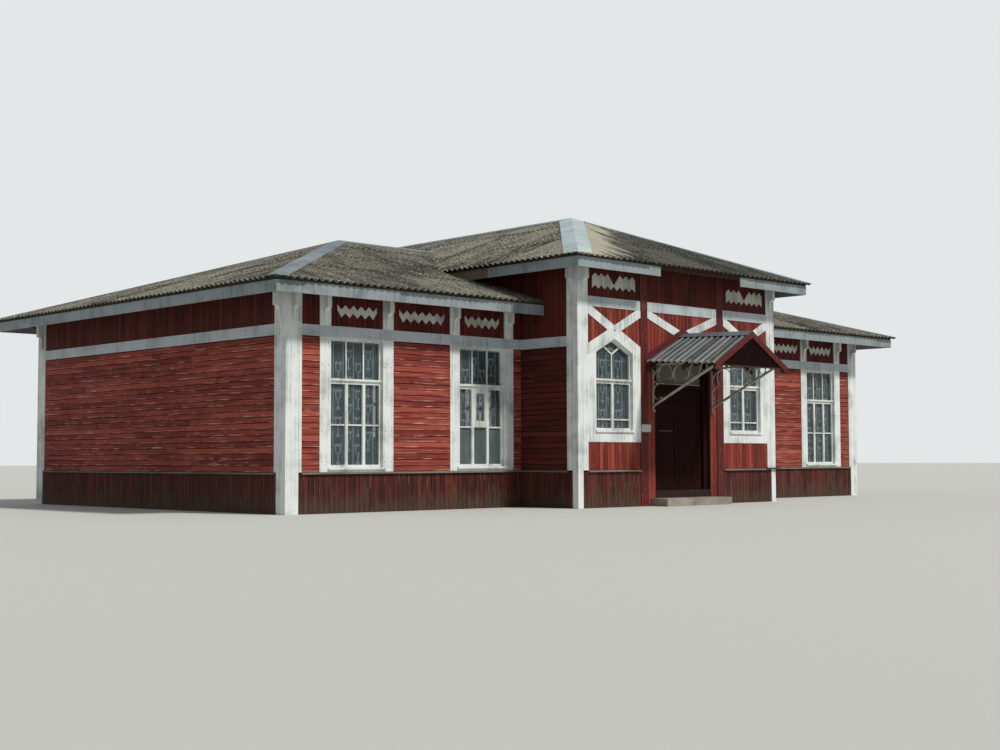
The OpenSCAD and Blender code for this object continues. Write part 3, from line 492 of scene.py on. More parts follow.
@dataclass(frozen=True)
class PaintedBoards:
    """Matt oil paint on sawn pine: brushed colour, thin along the grain, flaked off at the lower edges."""

    name: str
    coat: str
    deep: str
    bare: str
    grain: Grain
    worn: float
    fresh: str = "#ad5543"
    lap_shadow_and_dirt: str = "#2b120f"
    soiled_below: float = 0.0
    soil: str = "#4a4034"
    gloss: float = 0.72
    shine: float = 0.22

    def make(self) -> Material:
        """Builds the material."""
        s = Shader(self.name)
        # strokes and flakes are 3 to 6 mm wide on real boards, and 20 mm here to show from across a track
        strokes = s.pattern(self.grain.value, detail=4.0, shift=7.3)
        flakes = s.pattern(self.grain.flakes, detail=2.0, shift=5.1)
        patches = s.pattern(scale=1.7, shift=3.1)
        tone, across = s.carried("tone", "across")
        shade = s.total((strokes, 1.1), (tone, 0.28), (patches, 0.4))
        wear = s.total((flakes, 1), (strokes, 0.3), (patches, 0.3), (s.share(across, 0.3, 0.05), 0.16))
        flaked = s.share(wear, 1.0 - self.worn, 1.12 - self.worn)
        colour = s.layers(self.deep,
                          (s.share(shade, 0.66, 1.08), self.coat),
                          (s.share(tone, 0.86, 0.92, 0.35), self.fresh),
                          # the upper edge is painted dark for dirt and the painted shadow of the board above,
                          # and the weather strips the lower one
                          (s.share(across, 0.86, 1.0, 0.6), self.lap_shadow_and_dirt),
                          (s.product(flaked, 0.85), self.bare))
        if self.soiled_below:
            splash = s.total((patches, self.soiled_below * 2), (s.axes()[2], -1))
            colour = s.layers(colour, (s.share(splash, -0.05, 0.35, 0.6), self.soil))
        return s.done(colour, s.total((strokes, 0.15), (self.gloss, 1)),
                      height=s.total((strokes, 1), (flaked, -0.5)), depth=0.0012,
                      Specular_IOR_Level=self.shine)


@dataclass(frozen=True)
class WhitePaint:
    """Thick white oil paint on planed boards: chalky, with rain streaks, fine cracks and grey knots.

    bare_zone names a corner where the board is bare: its highest X, lowest and highest Y, and lowest Z.
    """

    name: str
    grain: Grain
    coat: str = "#dfe4e2"
    grey: str = "#a5adaa"
    bare: str = "#857c6d"
    wood: tuple[str, str] = ("#55443a", "#7a6656")
    worn: float = 0.0
    bare_zone: tuple[float, float, float, float] | None = None

    def make(self) -> Material:
        """Builds the material."""
        s = Shader(self.name)
        strokes = s.pattern(self.grain.value)
        streaks = s.pattern((22, 22, 0.7), detail=4.0)
        patches = s.pattern(scale=2.2, detail=5.0)
        dirt = s.total((streaks, 0.5), (patches, 0.75))
        chips = s.total((s.pattern(self.grain.flakes, rough=0.6), 1), (strokes, 0.3), (patches, 0.4))
        flaked = s.share(chips, 1.1 - self.worn, 1.15 - self.worn)
        colour = s.layers(self.coat, (s.share(dirt, 0.54, 0.84), self.grey), (flaked, self.bare))
        if self.bare_zone:
            x, y, z = s.axes()
            x_high, y_low, y_high, z_low = self.bare_zone
            sides = [s.add("Math", {0: axis, 1: limit}, operation=operation) for axis, limit, operation in (
                (x, x_high, "LESS_THAN"), (y, y_low, "GREATER_THAN"), (y, y_high, "LESS_THAN"),
                (z, z_low, "GREATER_THAN"))]
            dark, light = self.wood
            colour = s.layers(colour, (s.product(*sides), s.layers(dark, (strokes, light))))
        return s.done(colour, s.total((dirt, 0.3), (0.42, 1)),
                      height=s.total((strokes, 0.4), (flaked, -1)), depth=0.0008, Specular_IOR_Level=0.4)


@dataclass(frozen=True)
class FibreCement:
    """Pressed fibre-cement sheet, grey and porous, grown over with lichen in pale and black spots."""

    name: str = "fibre_cement_with_lichen"
    clean: str = "#8c897d"
    aged: str = "#25261f"
    pale: str = "#b3b0a2"
    black: str = "#1c1d1c"
    moss: str = "#45422c"
    painted_tree_shadow: str = "#262b2b"
    painted_sunlight: str = "#c4bfad"
    row: float = 1.6
    hip_start: float = 3.05

    def make(self) -> Material:
        """Builds the material."""
        s = Shader(self.name)
        x, y, _ = s.axes()
        # "wave" is 0 in the valleys of the sheets and 1 on their ridges
        tone, wave = s.carried("tone", "wave")
        sheet = s.add("UVMap", uv_map="sheet")
        run = s.add("Mapping", {"Vector": sheet, "Scale": (9, 0.9, 1)})
        streaks = s.add("TexNoise", {"Vector": run, "Scale": 1.0, "Detail": 4.0, "Roughness": 0.55})
        patches = s.pattern(scale=0.9, detail=5.0, rough=0.6)
        # grit of 2 mm is drawn as 30 mm mottling, the finest that shows from across the track
        grit = s.pattern(scale=26.0, rough=0.75)
        shade = s.total((patches, 0.8), (streaks, 0.5), (tone, 0.2), (grit, 1.1))
        damp = s.product(patches, streaks)
        # lichen in round spots of 15 to 60 mm, thickest in patches
        spots = s.add("TexVoronoi", {"Vector": s.place, "Scale": 17.0})
        discs = s.add("TexVoronoi", {"Vector": s.place, "Scale": 2.6})
        small = s.product(s.share(spots, 0.32, 0.18), s.share(s.pattern(scale=3.1), 0.4, 0.65))
        lichen = s.add("Math", {0: small, 1: s.share(discs, 0.09, 0.06)}, operation="MAXIMUM")
        rows = s.add("Math", {0: s.add("SeparateXYZ", {0: sheet}, "Y"), 1: self.row}, operation="DIVIDE")
        row = s.add("Math", {0: rows}, operation="FRACT")
        # a painted pool of sunlight lies on the sheets of the front slope beside the hip flashing, brightest
        # on the wave ridges
        sideways = s.add("Math", {0: x}, operation="ABSOLUTE")
        front = s.add("Math", {0: s.total((y, 1), (sideways, 1)), 1: -self.hip_start}, operation="LESS_THAN")
        beside = s.total((x, 1), (y, -1), (streaks, 3.2), (patches, 0.8))
        sunlit_share = s.share(beside, 3.5 + self.hip_start, 2.6 + self.hip_start)
        colour = s.layers(self.aged,
                          (s.share(shade, 1.06, 1.52), self.clean),
                          (s.share(s.total((grit, -1), (patches, 0.3)), -0.3, -0.2), self.black),
                          # the valleys of the waves are painted dark as painted shade
                          (s.share(wave, 0.75, 0.15, 0.88), self.black),
                          (s.share(damp, 0.26, 0.4, 0.4), self.moss),
                          (s.product(lichen, 0.8), self.pale),
                          # the lower edge of each row is painted pale, and just below it the row beneath is
                          # painted dark for dirt and the painted shadow of the lap
                          (s.share(row, 0.94, 0.98, 0.75), self.black),
                          (s.share(row, 0.02, 0.006, 0.35), self.pale),
                          # painted tree shadow darkens the front slope, and the painted sunlight beside the
                          # hip lies over it
                          (s.product(front, 0.55), self.painted_tree_shadow),
                          (s.product(sunlit_share, front, s.total((wave, 0.55), (grit, 0.7))), self.painted_sunlight))
        return s.done(colour, 0.94, height=s.total((grit, 1), (lichen, 0.8)), depth=0.003,
                      Specular_IOR_Level=0.2)


@dataclass(frozen=True)
class SheetMetal:
    """Hot-dip galvanised sheet: a dull sheen in flowers of zinc, whitened by rain and rusted where worn."""

    name: str
    zinc: str
    dull: str
    seam: str = "#4b5153"
    rust: str = "#6a4431"
    rusted: float = 0.0
    roughness: float = 0.5
    metallic: float = 0.75
    sheet: float = 2.3

    def make(self) -> Material:
        """Builds the material."""
        s = Shader(self.name)
        x, y, _ = s.axes()
        # flowers of zinc are 10 to 15 mm wide
        flowers = s.add("TexVoronoi", {"Vector": s.place, "Scale": 70.0}, "Color")
        flower = s.add("SeparateColor", {0: flowers})
        clouds = s.pattern(scale=1.6, detail=4.0, rough=0.5)
        # the sum of the distances from both middle lines runs along every hip and ridge; each sheet of a
        # run laps the next at a thin dark joint and has a tone of its own
        far = s.total(*((s.add("Math", {0: axis}, operation="ABSOLUTE"), 1) for axis in (x, y)))
        along = s.add("Math", {0: far, 1: self.sheet}, operation="DIVIDE")
        joint = s.add("Math", {0: along}, operation="FRACT")
        number = s.add("Math", {0: along}, operation="FLOOR")
        tone = s.add("TexWhiteNoise", {"W": number}, noise_dimensions="1D")
        shade = s.total((flower, 0.2), (s.share(clouds, 0.3, 0.75), 0.6), (tone, 0.35))
        eaten = s.share(s.pattern(scale=6.5, detail=6.0, rough=0.7), 0.78 - self.rusted, 0.84 - self.rusted)
        colour = s.layers(self.zinc, (shade, self.dull), (s.share(joint, 0.016, 0.006), self.seam),
                          (eaten, self.rust))
        smooth = s.total((clouds, 0.25), (self.roughness, 1))
        rough = s.add("Math", {0: smooth, 1: s.product(eaten, 0.9)}, operation="MAXIMUM")
        return s.done(colour, rough, self.metallic, s.total((clouds, 1), (eaten, 0.3)), 0.0012)


@dataclass(frozen=True)
class CorrugatedSteel:
    """Old corrugated steel over the door: ridges painted pale as painted highlight, valleys painted dark as
    painted shade, rust run down from the nails.
    """

    name: str = "weathered_corrugated_steel"
    ridge: str = "#828888"
    flank: str = "#383d3e"
    valley: str = "#222526"
    rust: str = "#6d5340"
    lime: str = "#928b7b"
    wave: float = 0.15
    first_valley: float = 7.8905

    def make(self) -> Material:
        """Builds the material."""
        s = Shader(self.name)
        outward, front_to_back = (s.add("Math", {0: axis}, operation="ABSOLUTE") for axis in s.axes()[:2])
        waves = s.total((self.first_valley / self.wave, 1), (front_to_back, -1 / self.wave))
        depth = s.add("Math", {0: s.product(waves, 2 * math.pi)}, operation="COSINE")
        number = s.add("Math", {0: waves}, operation="FLOOR")
        tone = s.add("TexWhiteNoise", {"W": number}, noise_dimensions="1D")
        clouds = s.pattern(scale=4.0, detail=5.0, rough=0.65)
        streaks = s.pattern((2.0, 24.0, 2.0), detail=4.0)
        # the ridges are painted pale as painted highlight, on top of tone, streaks and clouds
        bright = s.total((s.share(depth, 0.4, -0.95), 0.55), (tone, 0.7), (streaks, 0.9), (clouds, 0.6))
        stains = s.total((streaks, 0.7), (clouds, 0.6))
        colour = s.layers(self.flank,
                          (s.share(bright, 1.0, 1.8), self.ridge),
                          # the valleys are painted dark as painted shade
                          (s.share(depth, 0.1, 0.95, 0.65), self.valley),
                          (s.share(stains, 0.7, 0.84, 0.65), self.rust),
                          # dust and lime on the last hand's breadth above the drip
                          (s.share(outward, 1.0, 1.1, 0.35), self.lime))
        return s.done(colour, s.total((clouds, 0.2), (0.62, 1)), 0.35, clouds, 0.002)


@dataclass(frozen=True)
class IronPaint:
    """Brushed oil paint on wrought iron: thick, slightly glossy, with rust at the chips."""

    name: str
    coat: str
    shade: str
    rusted: float = 0.0
    rust: str = "#5c3a28"

    def make(self) -> Material:
        """Builds the material."""
        s = Shader(self.name)
        clouds = s.pattern(scale=9.0, detail=4.0)
        chips = s.share(s.pattern(scale=34.0, detail=4.0, rough=0.65), 0.7 - self.rusted, 0.74 - self.rusted)
        colour = s.layers(self.coat, (s.share(clouds, 0.35, 0.7), self.shade), (chips, self.rust))
        return s.done(colour, s.total((chips, 0.4), (0.48, 1)), height=s.total((clouds, 1), (chips, -1)),
                      depth=0.001)


@dataclass(frozen=True)
class BareTimber:
    """Unpainted sawn timber gone grey-brown: open grain with darker late wood."""

    name: str
    light: str
    dark: str
    grain: Grain = Grain.MIXED

    def make(self) -> Material:
        """Builds the material."""
        s = Shader(self.name)
        strokes = s.pattern(self.grain.value, detail=4.0, shift=5.0)
        shade = s.total((strokes, 0.7), (s.pattern(scale=1.8), 0.4))
        return s.done(s.layers(self.dark, (s.share(shade, 0.3, 0.8), self.light)), 0.88, height=strokes,
                      depth=0.001, Specular_IOR_Level=0.25)


@dataclass(frozen=True)
class WindowGlass:
    """Old drawn sheet glass: dark rooms behind it, a wavy gloss and a film of dust."""

    name: str
    tint: str
    dust: str
    alpha: float
    dusty: float = 0.15
    roughness: float = 0.06

    def make(self) -> Material:
        """Builds the material."""
        s = Shader(self.name)
        film = s.pattern((5, 5, 2), detail=5.0)
        colour = s.layers(self.tint, (s.share(film, 0.35, 0.8, self.dusty * 2), self.dust))
        return s.done(colour, s.total((film, self.dusty), (self.roughness, 1)),
                      height=s.pattern((2, 2, 6), detail=2.0), depth=0.002, strength=0.5,
                      Alpha=self.alpha, Specular_IOR_Level=0.6)


@dataclass(frozen=True)
class Concrete:
    """Trowelled concrete: grey-buff, pitted, stained by rain."""

    name: str = "trowelled_concrete"
    light: str = "#a09a8d"
    dark: str = "#6f6a60"

    def make(self) -> Material:
        """Builds the material."""
        s = Shader(self.name)
        clouds = s.pattern(scale=2.4, detail=6.0, rough=0.65)
        # sand of about 5 mm
        grit = s.pattern(scale=90.0, detail=2.0)
        stained = s.share(s.total((clouds, 1), (grit, 0.2)), 0.35, 0.85)
        return s.done(s.layers(self.light, (stained, self.dark)), 0.92,
                      height=s.total((grit, 0.3), (clouds, 1)), depth=0.004)


class Finishes:
    """Every material of the building, made once."""

    def __init__(self) -> None:
        """Makes the materials."""
        self.boards()
        self.white_paint()
        self.others()

    def boards(self) -> None:
        """Red paint: sunned on the wings, and copies darkened as painted shade under the eaves, on the gable
        of the door roof and, nearly black, on the door.
        """
        red = {"coat": "#9c4a3d", "deep": "#662620", "bare": "#bd9081"}
        sunned = {"coat": "#8c392e", "deep": "#54201a", "bare": "#a07769"}
        # this copy is darkened as painted shade of the eaves; it paints the returns and the boards above the
        # bands
        shaded = {"coat": "#5d241e", "deep": "#3b1411", "bare": "#795146", "fresh": "#6d2c24"}
        base = {"coat": "#57271f", "deep": "#321612", "bare": "#7b6659", "fresh": "#6b3229"}
        trim = {"coat": "#75302a", "deep": "#4c1c18", "bare": "#8a6257", "gloss": 0.6}
        # the gable of the door roof and the door are darkened as painted shade
        gable = {"coat": "#200b09", "deep": "#130605", "bare": "#342621", "fresh": "#33130f", "shine": 0.05}
        door = {"coat": "#34120f", "deep": "#1e0b09", "bare": "#4f3c35", "fresh": "#3a1511", "shine": 0.08}

        def paint(on: str, grain: Grain, worn: float, **looks: object) -> Material:
            """Red paint on one kind of board."""
            return PaintedBoards(f"red_paint_{on}", grain=grain, worn=worn, **looks).make()

        self.level_red = paint("on_level_pine", Grain.LEVEL, 0.06, **red)
        self.upright_red = paint("on_upright_pine", Grain.UPRIGHT, -0.04, **sunned)
        self.shaded_level_red = paint("on_shaded_level_pine", Grain.LEVEL, -0.06, **shaded)
        self.shaded_red = paint("darkened_as_painted_eave_shade", Grain.UPRIGHT, -0.08, **shaded)
        self.plinth_red = paint("on_base_boards", Grain.UPRIGHT, 0.02, soiled_below=0.4, **base)
        self.trim_red = paint("on_planed_trim", Grain.MIXED, -0.12, **trim)
        self.gable_red_in_painted_shade = paint("on_gable_boards", Grain.UPRIGHT, -0.2, **gable)
        self.door_red_in_painted_shade = paint("on_door", Grain.UPRIGHT, -0.2, **door)

    def white_paint(self) -> None:
        """White paint; the copies on the bands and on the eaves boards are greyed as painted shade of the
        eaves, and the eaves boards also for dirt.
        """
        def paint(on: str, grain: Grain, **looks: object) -> Material:
            """White paint on one kind of board."""
            return WhitePaint(f"white_paint_on_{on}", grain, **looks).make()

        self.white_upright = paint("upright_boards", Grain.UPRIGHT)
        # the bands are greyed as painted shade of the eaves
        self.white_level = paint("level_boards_in_painted_shade", Grain.LEVEL, coat="#b9c2c6", grey="#949da0")
        self.white_mixed = paint("casings", Grain.MIXED)
        # the eaves boards are greyed for dirt and as painted shade of the sheets
        self.white_fascia_with_dirt_and_painted_shade = paint("eaves_boards_with_dirt_and_painted_shade", Grain.LEVEL, coat="#8d979a", grey="#6d7577",
                                  bare_zone=(-3.2, -4.23, 0.0, 4.3))
        self.white_sash = paint("window_frames", Grain.MIXED, coat="#dcdfda", grey="#a2a6a1")
        self.white_fret = paint("fret_boards", Grain.LEVEL, coat="#c6c8be", grey="#93948a", worn=-0.02)
        self.plate = WhitePaint("grey_white_enamel_on_sign_plate", Grain.MIXED, coat="#b9c0c2",
                                grey="#949b9d").make()

    def others(self) -> None:
        """Bare timber, roofing, metal, glass and concrete."""
        self.ledge = BareTimber("greyed_ledge_boards", "#8a8880", "#5b554c", Grain.LEVEL).make()
        # the walls behind the cladding are dark as painted shade in the joints between the boards
        self.joint_shade_backing = BareTimber("boarding_behind_the_cladding_dark_as_painted_shade", "#33211c", "#1d1311").make()
        # the roof decks and the frame of the door roof are darkened as painted shade under the sheets
        self.deck_timber_in_painted_shade = BareTimber("deck_timber_darkened_as_painted_shade", "#4a352c", "#2a1d19").make()
        self.battens = BareTimber("bare_eave_battens", "#4d463b", "#2c2721", Grain.LEVEL).make()
        self.floor = BareTimber("worn_floor_boards", "#6f5b48", "#43362b", Grain.LEVEL).make()
        self.strip = BareTimber("dull_strip_on_door", "#67564d", "#43362f").make()
        self.roof = FibreCement().make()
        self.flashing = SheetMetal("bright_galvanised_sheet", "#bfcacd", "#96a5a9", roughness=0.42).make()
        self.caps = SheetMetal("dull_galvanised_sheet", "#8b9699", "#5d676c", rusted=0.1,
                               roughness=0.55).make()
        self.canopy = CorrugatedSteel().make()
        self.iron = IronPaint("grey_beige_paint_on_iron", "#a8a497", "#7f7b70", 0.04).make()
        self.grille = IronPaint("white_paint_on_grille_bars", "#dfe3e0", "#bfc5c2", 0.02).make()
        self.nails = IronPaint("rusty_nail_heads", "#3b3733", "#2a2624", 0.1).make()
        self.glass = WindowGlass("old_window_glass", "#52636a", "#93a5a9", 0.3).make()
        self.milky = WindowGlass("whitewashed_glass", "#6f7a73", "#8d968e", 1.0, 0.4, 0.3).make()
        # the transom panel is darkened as painted shade of the door roof
        self.plaster = Concrete("transom_panel_darkened_as_painted_shade", "#7d7a6f", "#5d5a51").make()
        self.concrete = Concrete().make()


# The building's sizes, as its nodes have them

Heights = float | Callable[[float], float]


def span(sign: int, a: float, b: float) -> tuple[float, float]:
    """The stretch from a to b, or its mirror image for sign -1, with the lower end first."""
    return tuple(sorted((sign * a, sign * b)))


@dataclass(frozen=True)
class Face:
    """An outer wall face: where it looks, and how far it is from the middle of the plan."""

    out: Vector
    offset: float

    @property
    def tangent(self) -> Vector:
        """Level direction along the face in which places on it are counted."""
        return Vector((1, 0, 0)) if abs(self.out.y) > 0.5 else Vector((0, 1, 0))

    @property
    def side(self) -> Vector:
        """Level direction along the face, to the right for one who looks at it."""
        return UP.cross(self.out)

    def point(self, t: float, z: float, d: float = 0.0) -> Vector:
        """The point at t along the face, at height z and d out from it."""
        return self.tangent * t + self.out * (self.offset + d) + UP * z


@dataclass
class Plan:
    """Sizes read from the nodes, with the few that no node's box gives."""

    center_half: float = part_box("right_side_wall")[1].x
    front: float = -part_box("front_wall_right")[0].y
    wing_half: float = -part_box("right_wing_front_wall")[0].y
    wing_end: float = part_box("right_wing_end_wall")[1].x
    ledge_z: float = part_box("plinth")[1].z
    ledge_foot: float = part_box("ledge_boards")[0].z
    band_h: float = 0.195
    wing_band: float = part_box("frieze_bands")[0].z
    center_band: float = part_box("frieze_bands")[1].z - band_h
    wing_eave: float = 3.98
    wing_rise: float = math.tan(math.radians(17.6))
    wing_over: float = 0.75
    center_eave: float = 4.76
    center_rise: float = math.tan(math.radians(21.8))
    center_over: float = 0.62
    roof_t: float = 0.16
    wing_corner: float = 0.31
    wing_post: float = 0.245
    center_corner: float = 0.26
    center_post: float = 0.118
    casing_half: float = 0.825
    strip_in: float = 0.585
    outer_window: float = 1.519
    inner_window: float = 1.052
    bay: float = 1.1
    pilaster: float = 0.22
    apron_foot: float = 1.26
    brace_rise: float = 0.78
    brace_drop: float = 0.04
    door_half: float = 0.875
    door_top: float = 2.94
    trim_t: float = 0.028
    glass_in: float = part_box("wing_window_glass")[0].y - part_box("right_wing_front_wall")[0].y + 0.005

    @property
    def wing_windows(self) -> tuple[float, float]:
        """Middles of the outer and inner window of the right wing."""
        return self.wing_end - self.outer_window, self.center_half + self.inner_window

    @property
    def panel(self) -> tuple[float, float]:
        """Both edges of the wall panel that holds a pointed window, right of the door."""
        return self.bay + self.pilaster, self.center_half - self.center_corner

    @property
    def brace_top(self) -> float:
        """Height at which the middle lines of the crossed braces start."""
        return self.center_band - self.brace_drop

    @property
    def wing_top(self) -> float:
        """Where the wing walls meet the roof deck."""
        return self.wing_eave + self.wing_over * self.wing_rise - self.roof_t

    @property
    def center_top(self) -> float:
        """Where the walls of the centre meet the roof deck."""
        return self.center_eave + self.center_over * self.center_rise - self.roof_t

    def wing_surface(self, y: float) -> float:
        """Height of the wing's long roof slopes at y."""
        return self.wing_eave + (self.wing_half + self.wing_over - abs(y)) * self.wing_rise

    def wing_face(self, side: int) -> Face:
        """Long wall of the wings, at the front for side -1 and at the rear for 1."""
        return Face(Vector((0, side, 0)), self.wing_half)

    def end_face(self, side: int) -> Face:
        """End wall of the left wing for side -1, of the right one for 1."""
        return Face(Vector((side, 0, 0)), self.wing_end)

    def center_face(self, side: int) -> Face:
        """Wall of the centre, at the front for side -1 and at the rear for 1."""
        return Face(Vector((0, side, 0)), self.front)

    def return_face(self, side: int) -> Face:
        """Side wall of the centre, left for side -1 and right for 1."""
        return Face(Vector((side, 0, 0)), self.center_half)


@dataclass
class Assembly:
    """What every sub-assembly is built from."""

    plan: Plan
    finishes: Finishes


def dress(obj: Object, material: Material, slot: str, body: str = "building") -> Object:
    """Gives a piece its material and the body it rides on.

    Args:
        obj: The finished piece.
        material: Its finish.
        slot: Not used.
        body: The CAD body.
    Returns:
        The same object.
    """
    obj.data.materials.clear()
    obj.data.materials.append(material)
    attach(obj, body)
    LOG.info("%s: %d faces, on %s", obj.name, len(obj.data.polygons), body)
    return obj


# Boards

@dataclass
class Wall:
    """The boards of one wall: the main ones, those above its white band and those of its base."""

    face: Face
    draw: random.Random
    main: Copies = field(default_factory=Copies)
    upper: Copies = field(default_factory=Copies)
    base: Copies = field(default_factory=Copies)

    def jog(self) -> float:
        """How far one board happens to stand out from the wall."""
        return self.draw.uniform(-0.001, 0.0015)


@dataclass
class Cladding(Assembly):
    """Lays boards on the walls: level ones on the wings, upright ones on the centre and the base."""

    level_pitch: float = 0.107
    upright_pitch: float = 0.112
    board_t: float = 0.021
    upright_t: float = 0.016
    sunk: float = 0.002
    tapered: float = 0.009
    chamfer: float = 0.005
    rounding: float = 0.003
    joint: float = 0.007
    butt: float = 0.002
    end_gap: float = 0.004
    longest: float = 3.6
    shortest: float = 0.4
    shares: tuple[float, float] = (0.5, 0.9)
    unevenness: float = 0.0012
    lean: float = 0.02
    lowest_row: float = 0.02
    sliver: float = 0.03

    def level_board(self) -> Pattern:
        """A metre of level board whose lower edge stands out over the one below."""
        half = (self.level_pitch - self.joint) / 2

        def upper_outer(a: Vector, b: Vector) -> bool:
            """Says whether an edge is the upper one of the outer side."""
            return all(abs(end.y - self.board_t) < 1e-5 and end.z > 0 for end in (a, b))

        def lower_outer(a: Vector, b: Vector) -> bool:
            """Says whether an edge is the lower one of the outer side."""
            return all(end.y > self.board_t / 2 and end.z < 0 for end in (a, b)) and abs(a.x - b.x) > 0.5

        obj = block((0, self.sunk, -half), (1, self.board_t, half))
        select_edges(obj, upper_outer)
        bpy.ops.transform.translate(value=(0, -self.tapered, 0))
        bpy.ops.mesh.bevel(offset=self.chamfer, segments=1)
        bpy.ops.object.mode_set(mode="OBJECT")
        select_edges(obj, lower_outer)
        bpy.ops.mesh.bevel(offset=self.rounding, segments=2)
        bpy.ops.object.mode_set(mode="OBJECT")
        return Pattern(obj)

    def upright_board(self) -> Pattern:
        """A metre of upright board with both long edges chamfered."""
        half = (self.upright_pitch - self.joint) / 2

        def long_outer(a: Vector, b: Vector) -> bool:
            """Says whether an edge is a long one of the outer side."""
            return a.y > self.upright_t / 2 and b.y > self.upright_t / 2 and abs(a.x - b.x) > 0.5

        return Pattern(block((0, self.sunk, -half), (1, self.upright_t, half), self.chamfer, long_outer))

    def rows(self, wall: Wall, ends: tuple[float, float]) -> None:
        """Covers a stretch of wall with level boards, from the ledge to the white band.

        Args:
            wall: Takes the boards.
            ends: Left and right edge of the stretch.
        """
        face, draw = wall.face, wall.draw
        along = face.out.cross(UP)
        backwards = along.dot(face.tangent) < 0
        left, right = ends
        z, top = self.plan.ledge_z + self.end_gap, self.plan.wing_band
        while z < top - self.lowest_row:
            height = min(self.level_pitch, top - z)
            start = left
            while start < right:
                reach = right
                if right - start > self.longest:
                    reach = start + draw.uniform(*self.shares) * self.longest
                if right - reach < self.shortest:
                    reach = right
                first = reach - self.butt / 2 if backwards else start + self.butt / 2
                middle = z + height / 2 + draw.uniform(-self.unevenness, self.unevenness)
                origin = face.point(first, middle, wall.jog())
                lean = draw.uniform(-self.lean, self.lean)
                up = UP * (height / self.level_pitch) + face.out * lean
                wall.main.add(self.level, origin, (along * (reach - start - self.butt), face.out, up),
                              draw.random())
                start = reach
            z += self.level_pitch

    def upright(self, wall: Wall, copies: Copies, ends: tuple[float, float], low: Heights,
                high: Heights) -> None:
        """Covers a stretch of wall with upright boards.

        Args:
            wall: The wall.
            copies: Takes the boards.
            ends: Left and right edge of the stretch.
            low: Height of the boards' feet, for all or at a place along the wall.
            high: Height of their tops.
        """
        left, right = ends
        count = max(1, round((right - left) / self.upright_pitch))
        width = (right - left) / count
        for i in range(count):
            t = left + (i + 0.5) * width
            foot, top = (height(t) if callable(height) else height for height in (low, high))
            if top - foot < self.sliver:
                continue
            axes = (UP * (top - foot), wall.face.out, wall.face.side * (width / self.upright_pitch))
            copies.add(self.stand, wall.face.point(t, foot, wall.jog()), axes, wall.draw.random())

    def footing(self, wall: Wall, ends: tuple[float, float]) -> None:
        """Covers a stretch of the base with upright boards."""
        self.upright(wall, wall.base, ends, self.end_gap, self.plan.ledge_foot)

    def finish(self, wall: Wall, stem: str, above: str, material: Material) -> None:
        """Makes a wall's boards three pieces and dresses them.

        Args:
            wall: The wall, with all of its boards.
            stem: Starts the pieces' names.
            above: Names the boards over the white band.
            material: Finish of the main boards.
        """
        f = self.finishes
        dress(wall.main.piece(f"{stem}_boards"), material, "red_boards")
        dress(wall.upper.piece(f"{stem}_{above}_boards"), f.shaded_red, "red_boards")
        dress(wall.base.piece(f"{stem}_base_boards"), f.plinth_red, "plinth_boards")

    def build(self) -> None:
        """Makes the boards of every wall and dresses them."""
        self.level, self.stand = self.level_board(), self.upright_board()
        self.wings()
        self.ends()
        self.returns()
        self.fronts()

    def wings(self) -> None:
        """Boards of the long walls of the wings."""
        p = self.plan
        outer, inner = p.wing_windows
        edges = [(p.center_half, inner - p.casing_half), (inner + p.casing_half, outer - p.casing_half),
                 (outer + p.casing_half, p.wing_end - p.wing_corner)]
        frieze = edges + [(w - p.strip_in, w + p.strip_in) for w in (inner, outer)]
        for name, sign, side in (("left_front", -1, -1), ("right_front", 1, -1), ("left_rear", -1, 1),
                                 ("right_rear", 1, 1)):
            wall = Wall(p.wing_face(side), random.Random(f"wing {name}"))
            for a, b in edges:
                self.rows(wall, span(sign, a, b))
            for a, b in frieze:
                self.upright(wall, wall.upper, span(sign, a, b), p.wing_band + p.band_h,
                             p.wing_top - self.end_gap)
            self.footing(wall, span(sign, p.center_half, p.wing_end - p.wing_post))
            self.finish(wall, f"{name}_wing", "frieze", self.finishes.level_red)

    def ends(self) -> None:
        """Boards of the end walls of the wings."""
        p = self.plan
        whole = span(1, p.wing_corner - p.wing_half, p.wing_half - p.wing_corner)
        for name, side in (("left", -1), ("right", 1)):
            wall = Wall(p.end_face(side), random.Random(f"end {name}"))
            self.rows(wall, whole)
            self.upright(wall, wall.upper, whole, p.wing_band + p.band_h, p.wing_top - self.end_gap)
            self.footing(wall, (p.wing_post - p.wing_half, p.wing_half - p.wing_post))
            self.finish(wall, f"{name}_end", "frieze", self.finishes.level_red)

    def returns(self) -> None:
        """Boards of the sides of the centre, down to the wing roofs."""
        p = self.plan
        start, inmost, sheets = p.wing_half + 0.03, 2.2, 0.1
        top = p.center_top - self.end_gap
        for name, side in (("left", -1), ("right", 1)):
            wall = Wall(p.return_face(side), random.Random(f"return {name}"))
            for sign in (-1, 1):
                ends = span(sign, start, p.front - p.center_corner)
                self.rows(wall, ends)
                self.upright(wall, wall.upper, ends, p.wing_band + p.band_h, top)
                self.footing(wall, span(sign, start, p.front - p.center_post))
                self.upright(wall, wall.upper, span(sign, inmost, p.wing_half),
                             lambda t: p.wing_surface(t) - sheets, top)
            self.finish(wall, f"{name}_return", "upper", self.finishes.shaded_level_red)

    def fronts(self) -> None:
        """Upright boards of the front and rear of the centre."""
        p = self.plan
        left, right = p.panel
        middle = (left + right) / 2
        band_top, top = p.center_band + p.band_h, p.center_top - self.end_gap

        def over_braces(t: float) -> float:
            """Height of the braces that crown a window, or of the door's head.

            Args:
                t: Place along the front.
            Returns:
                The height at which the boards above stop.
            """
            if abs(t) < p.bay:
                return p.door_top if abs(t) < p.door_half else p.ledge_z
            gone = abs(abs(t) - middle) / (right - left)
            return p.brace_top - p.brace_rise * (0.5 + gone)

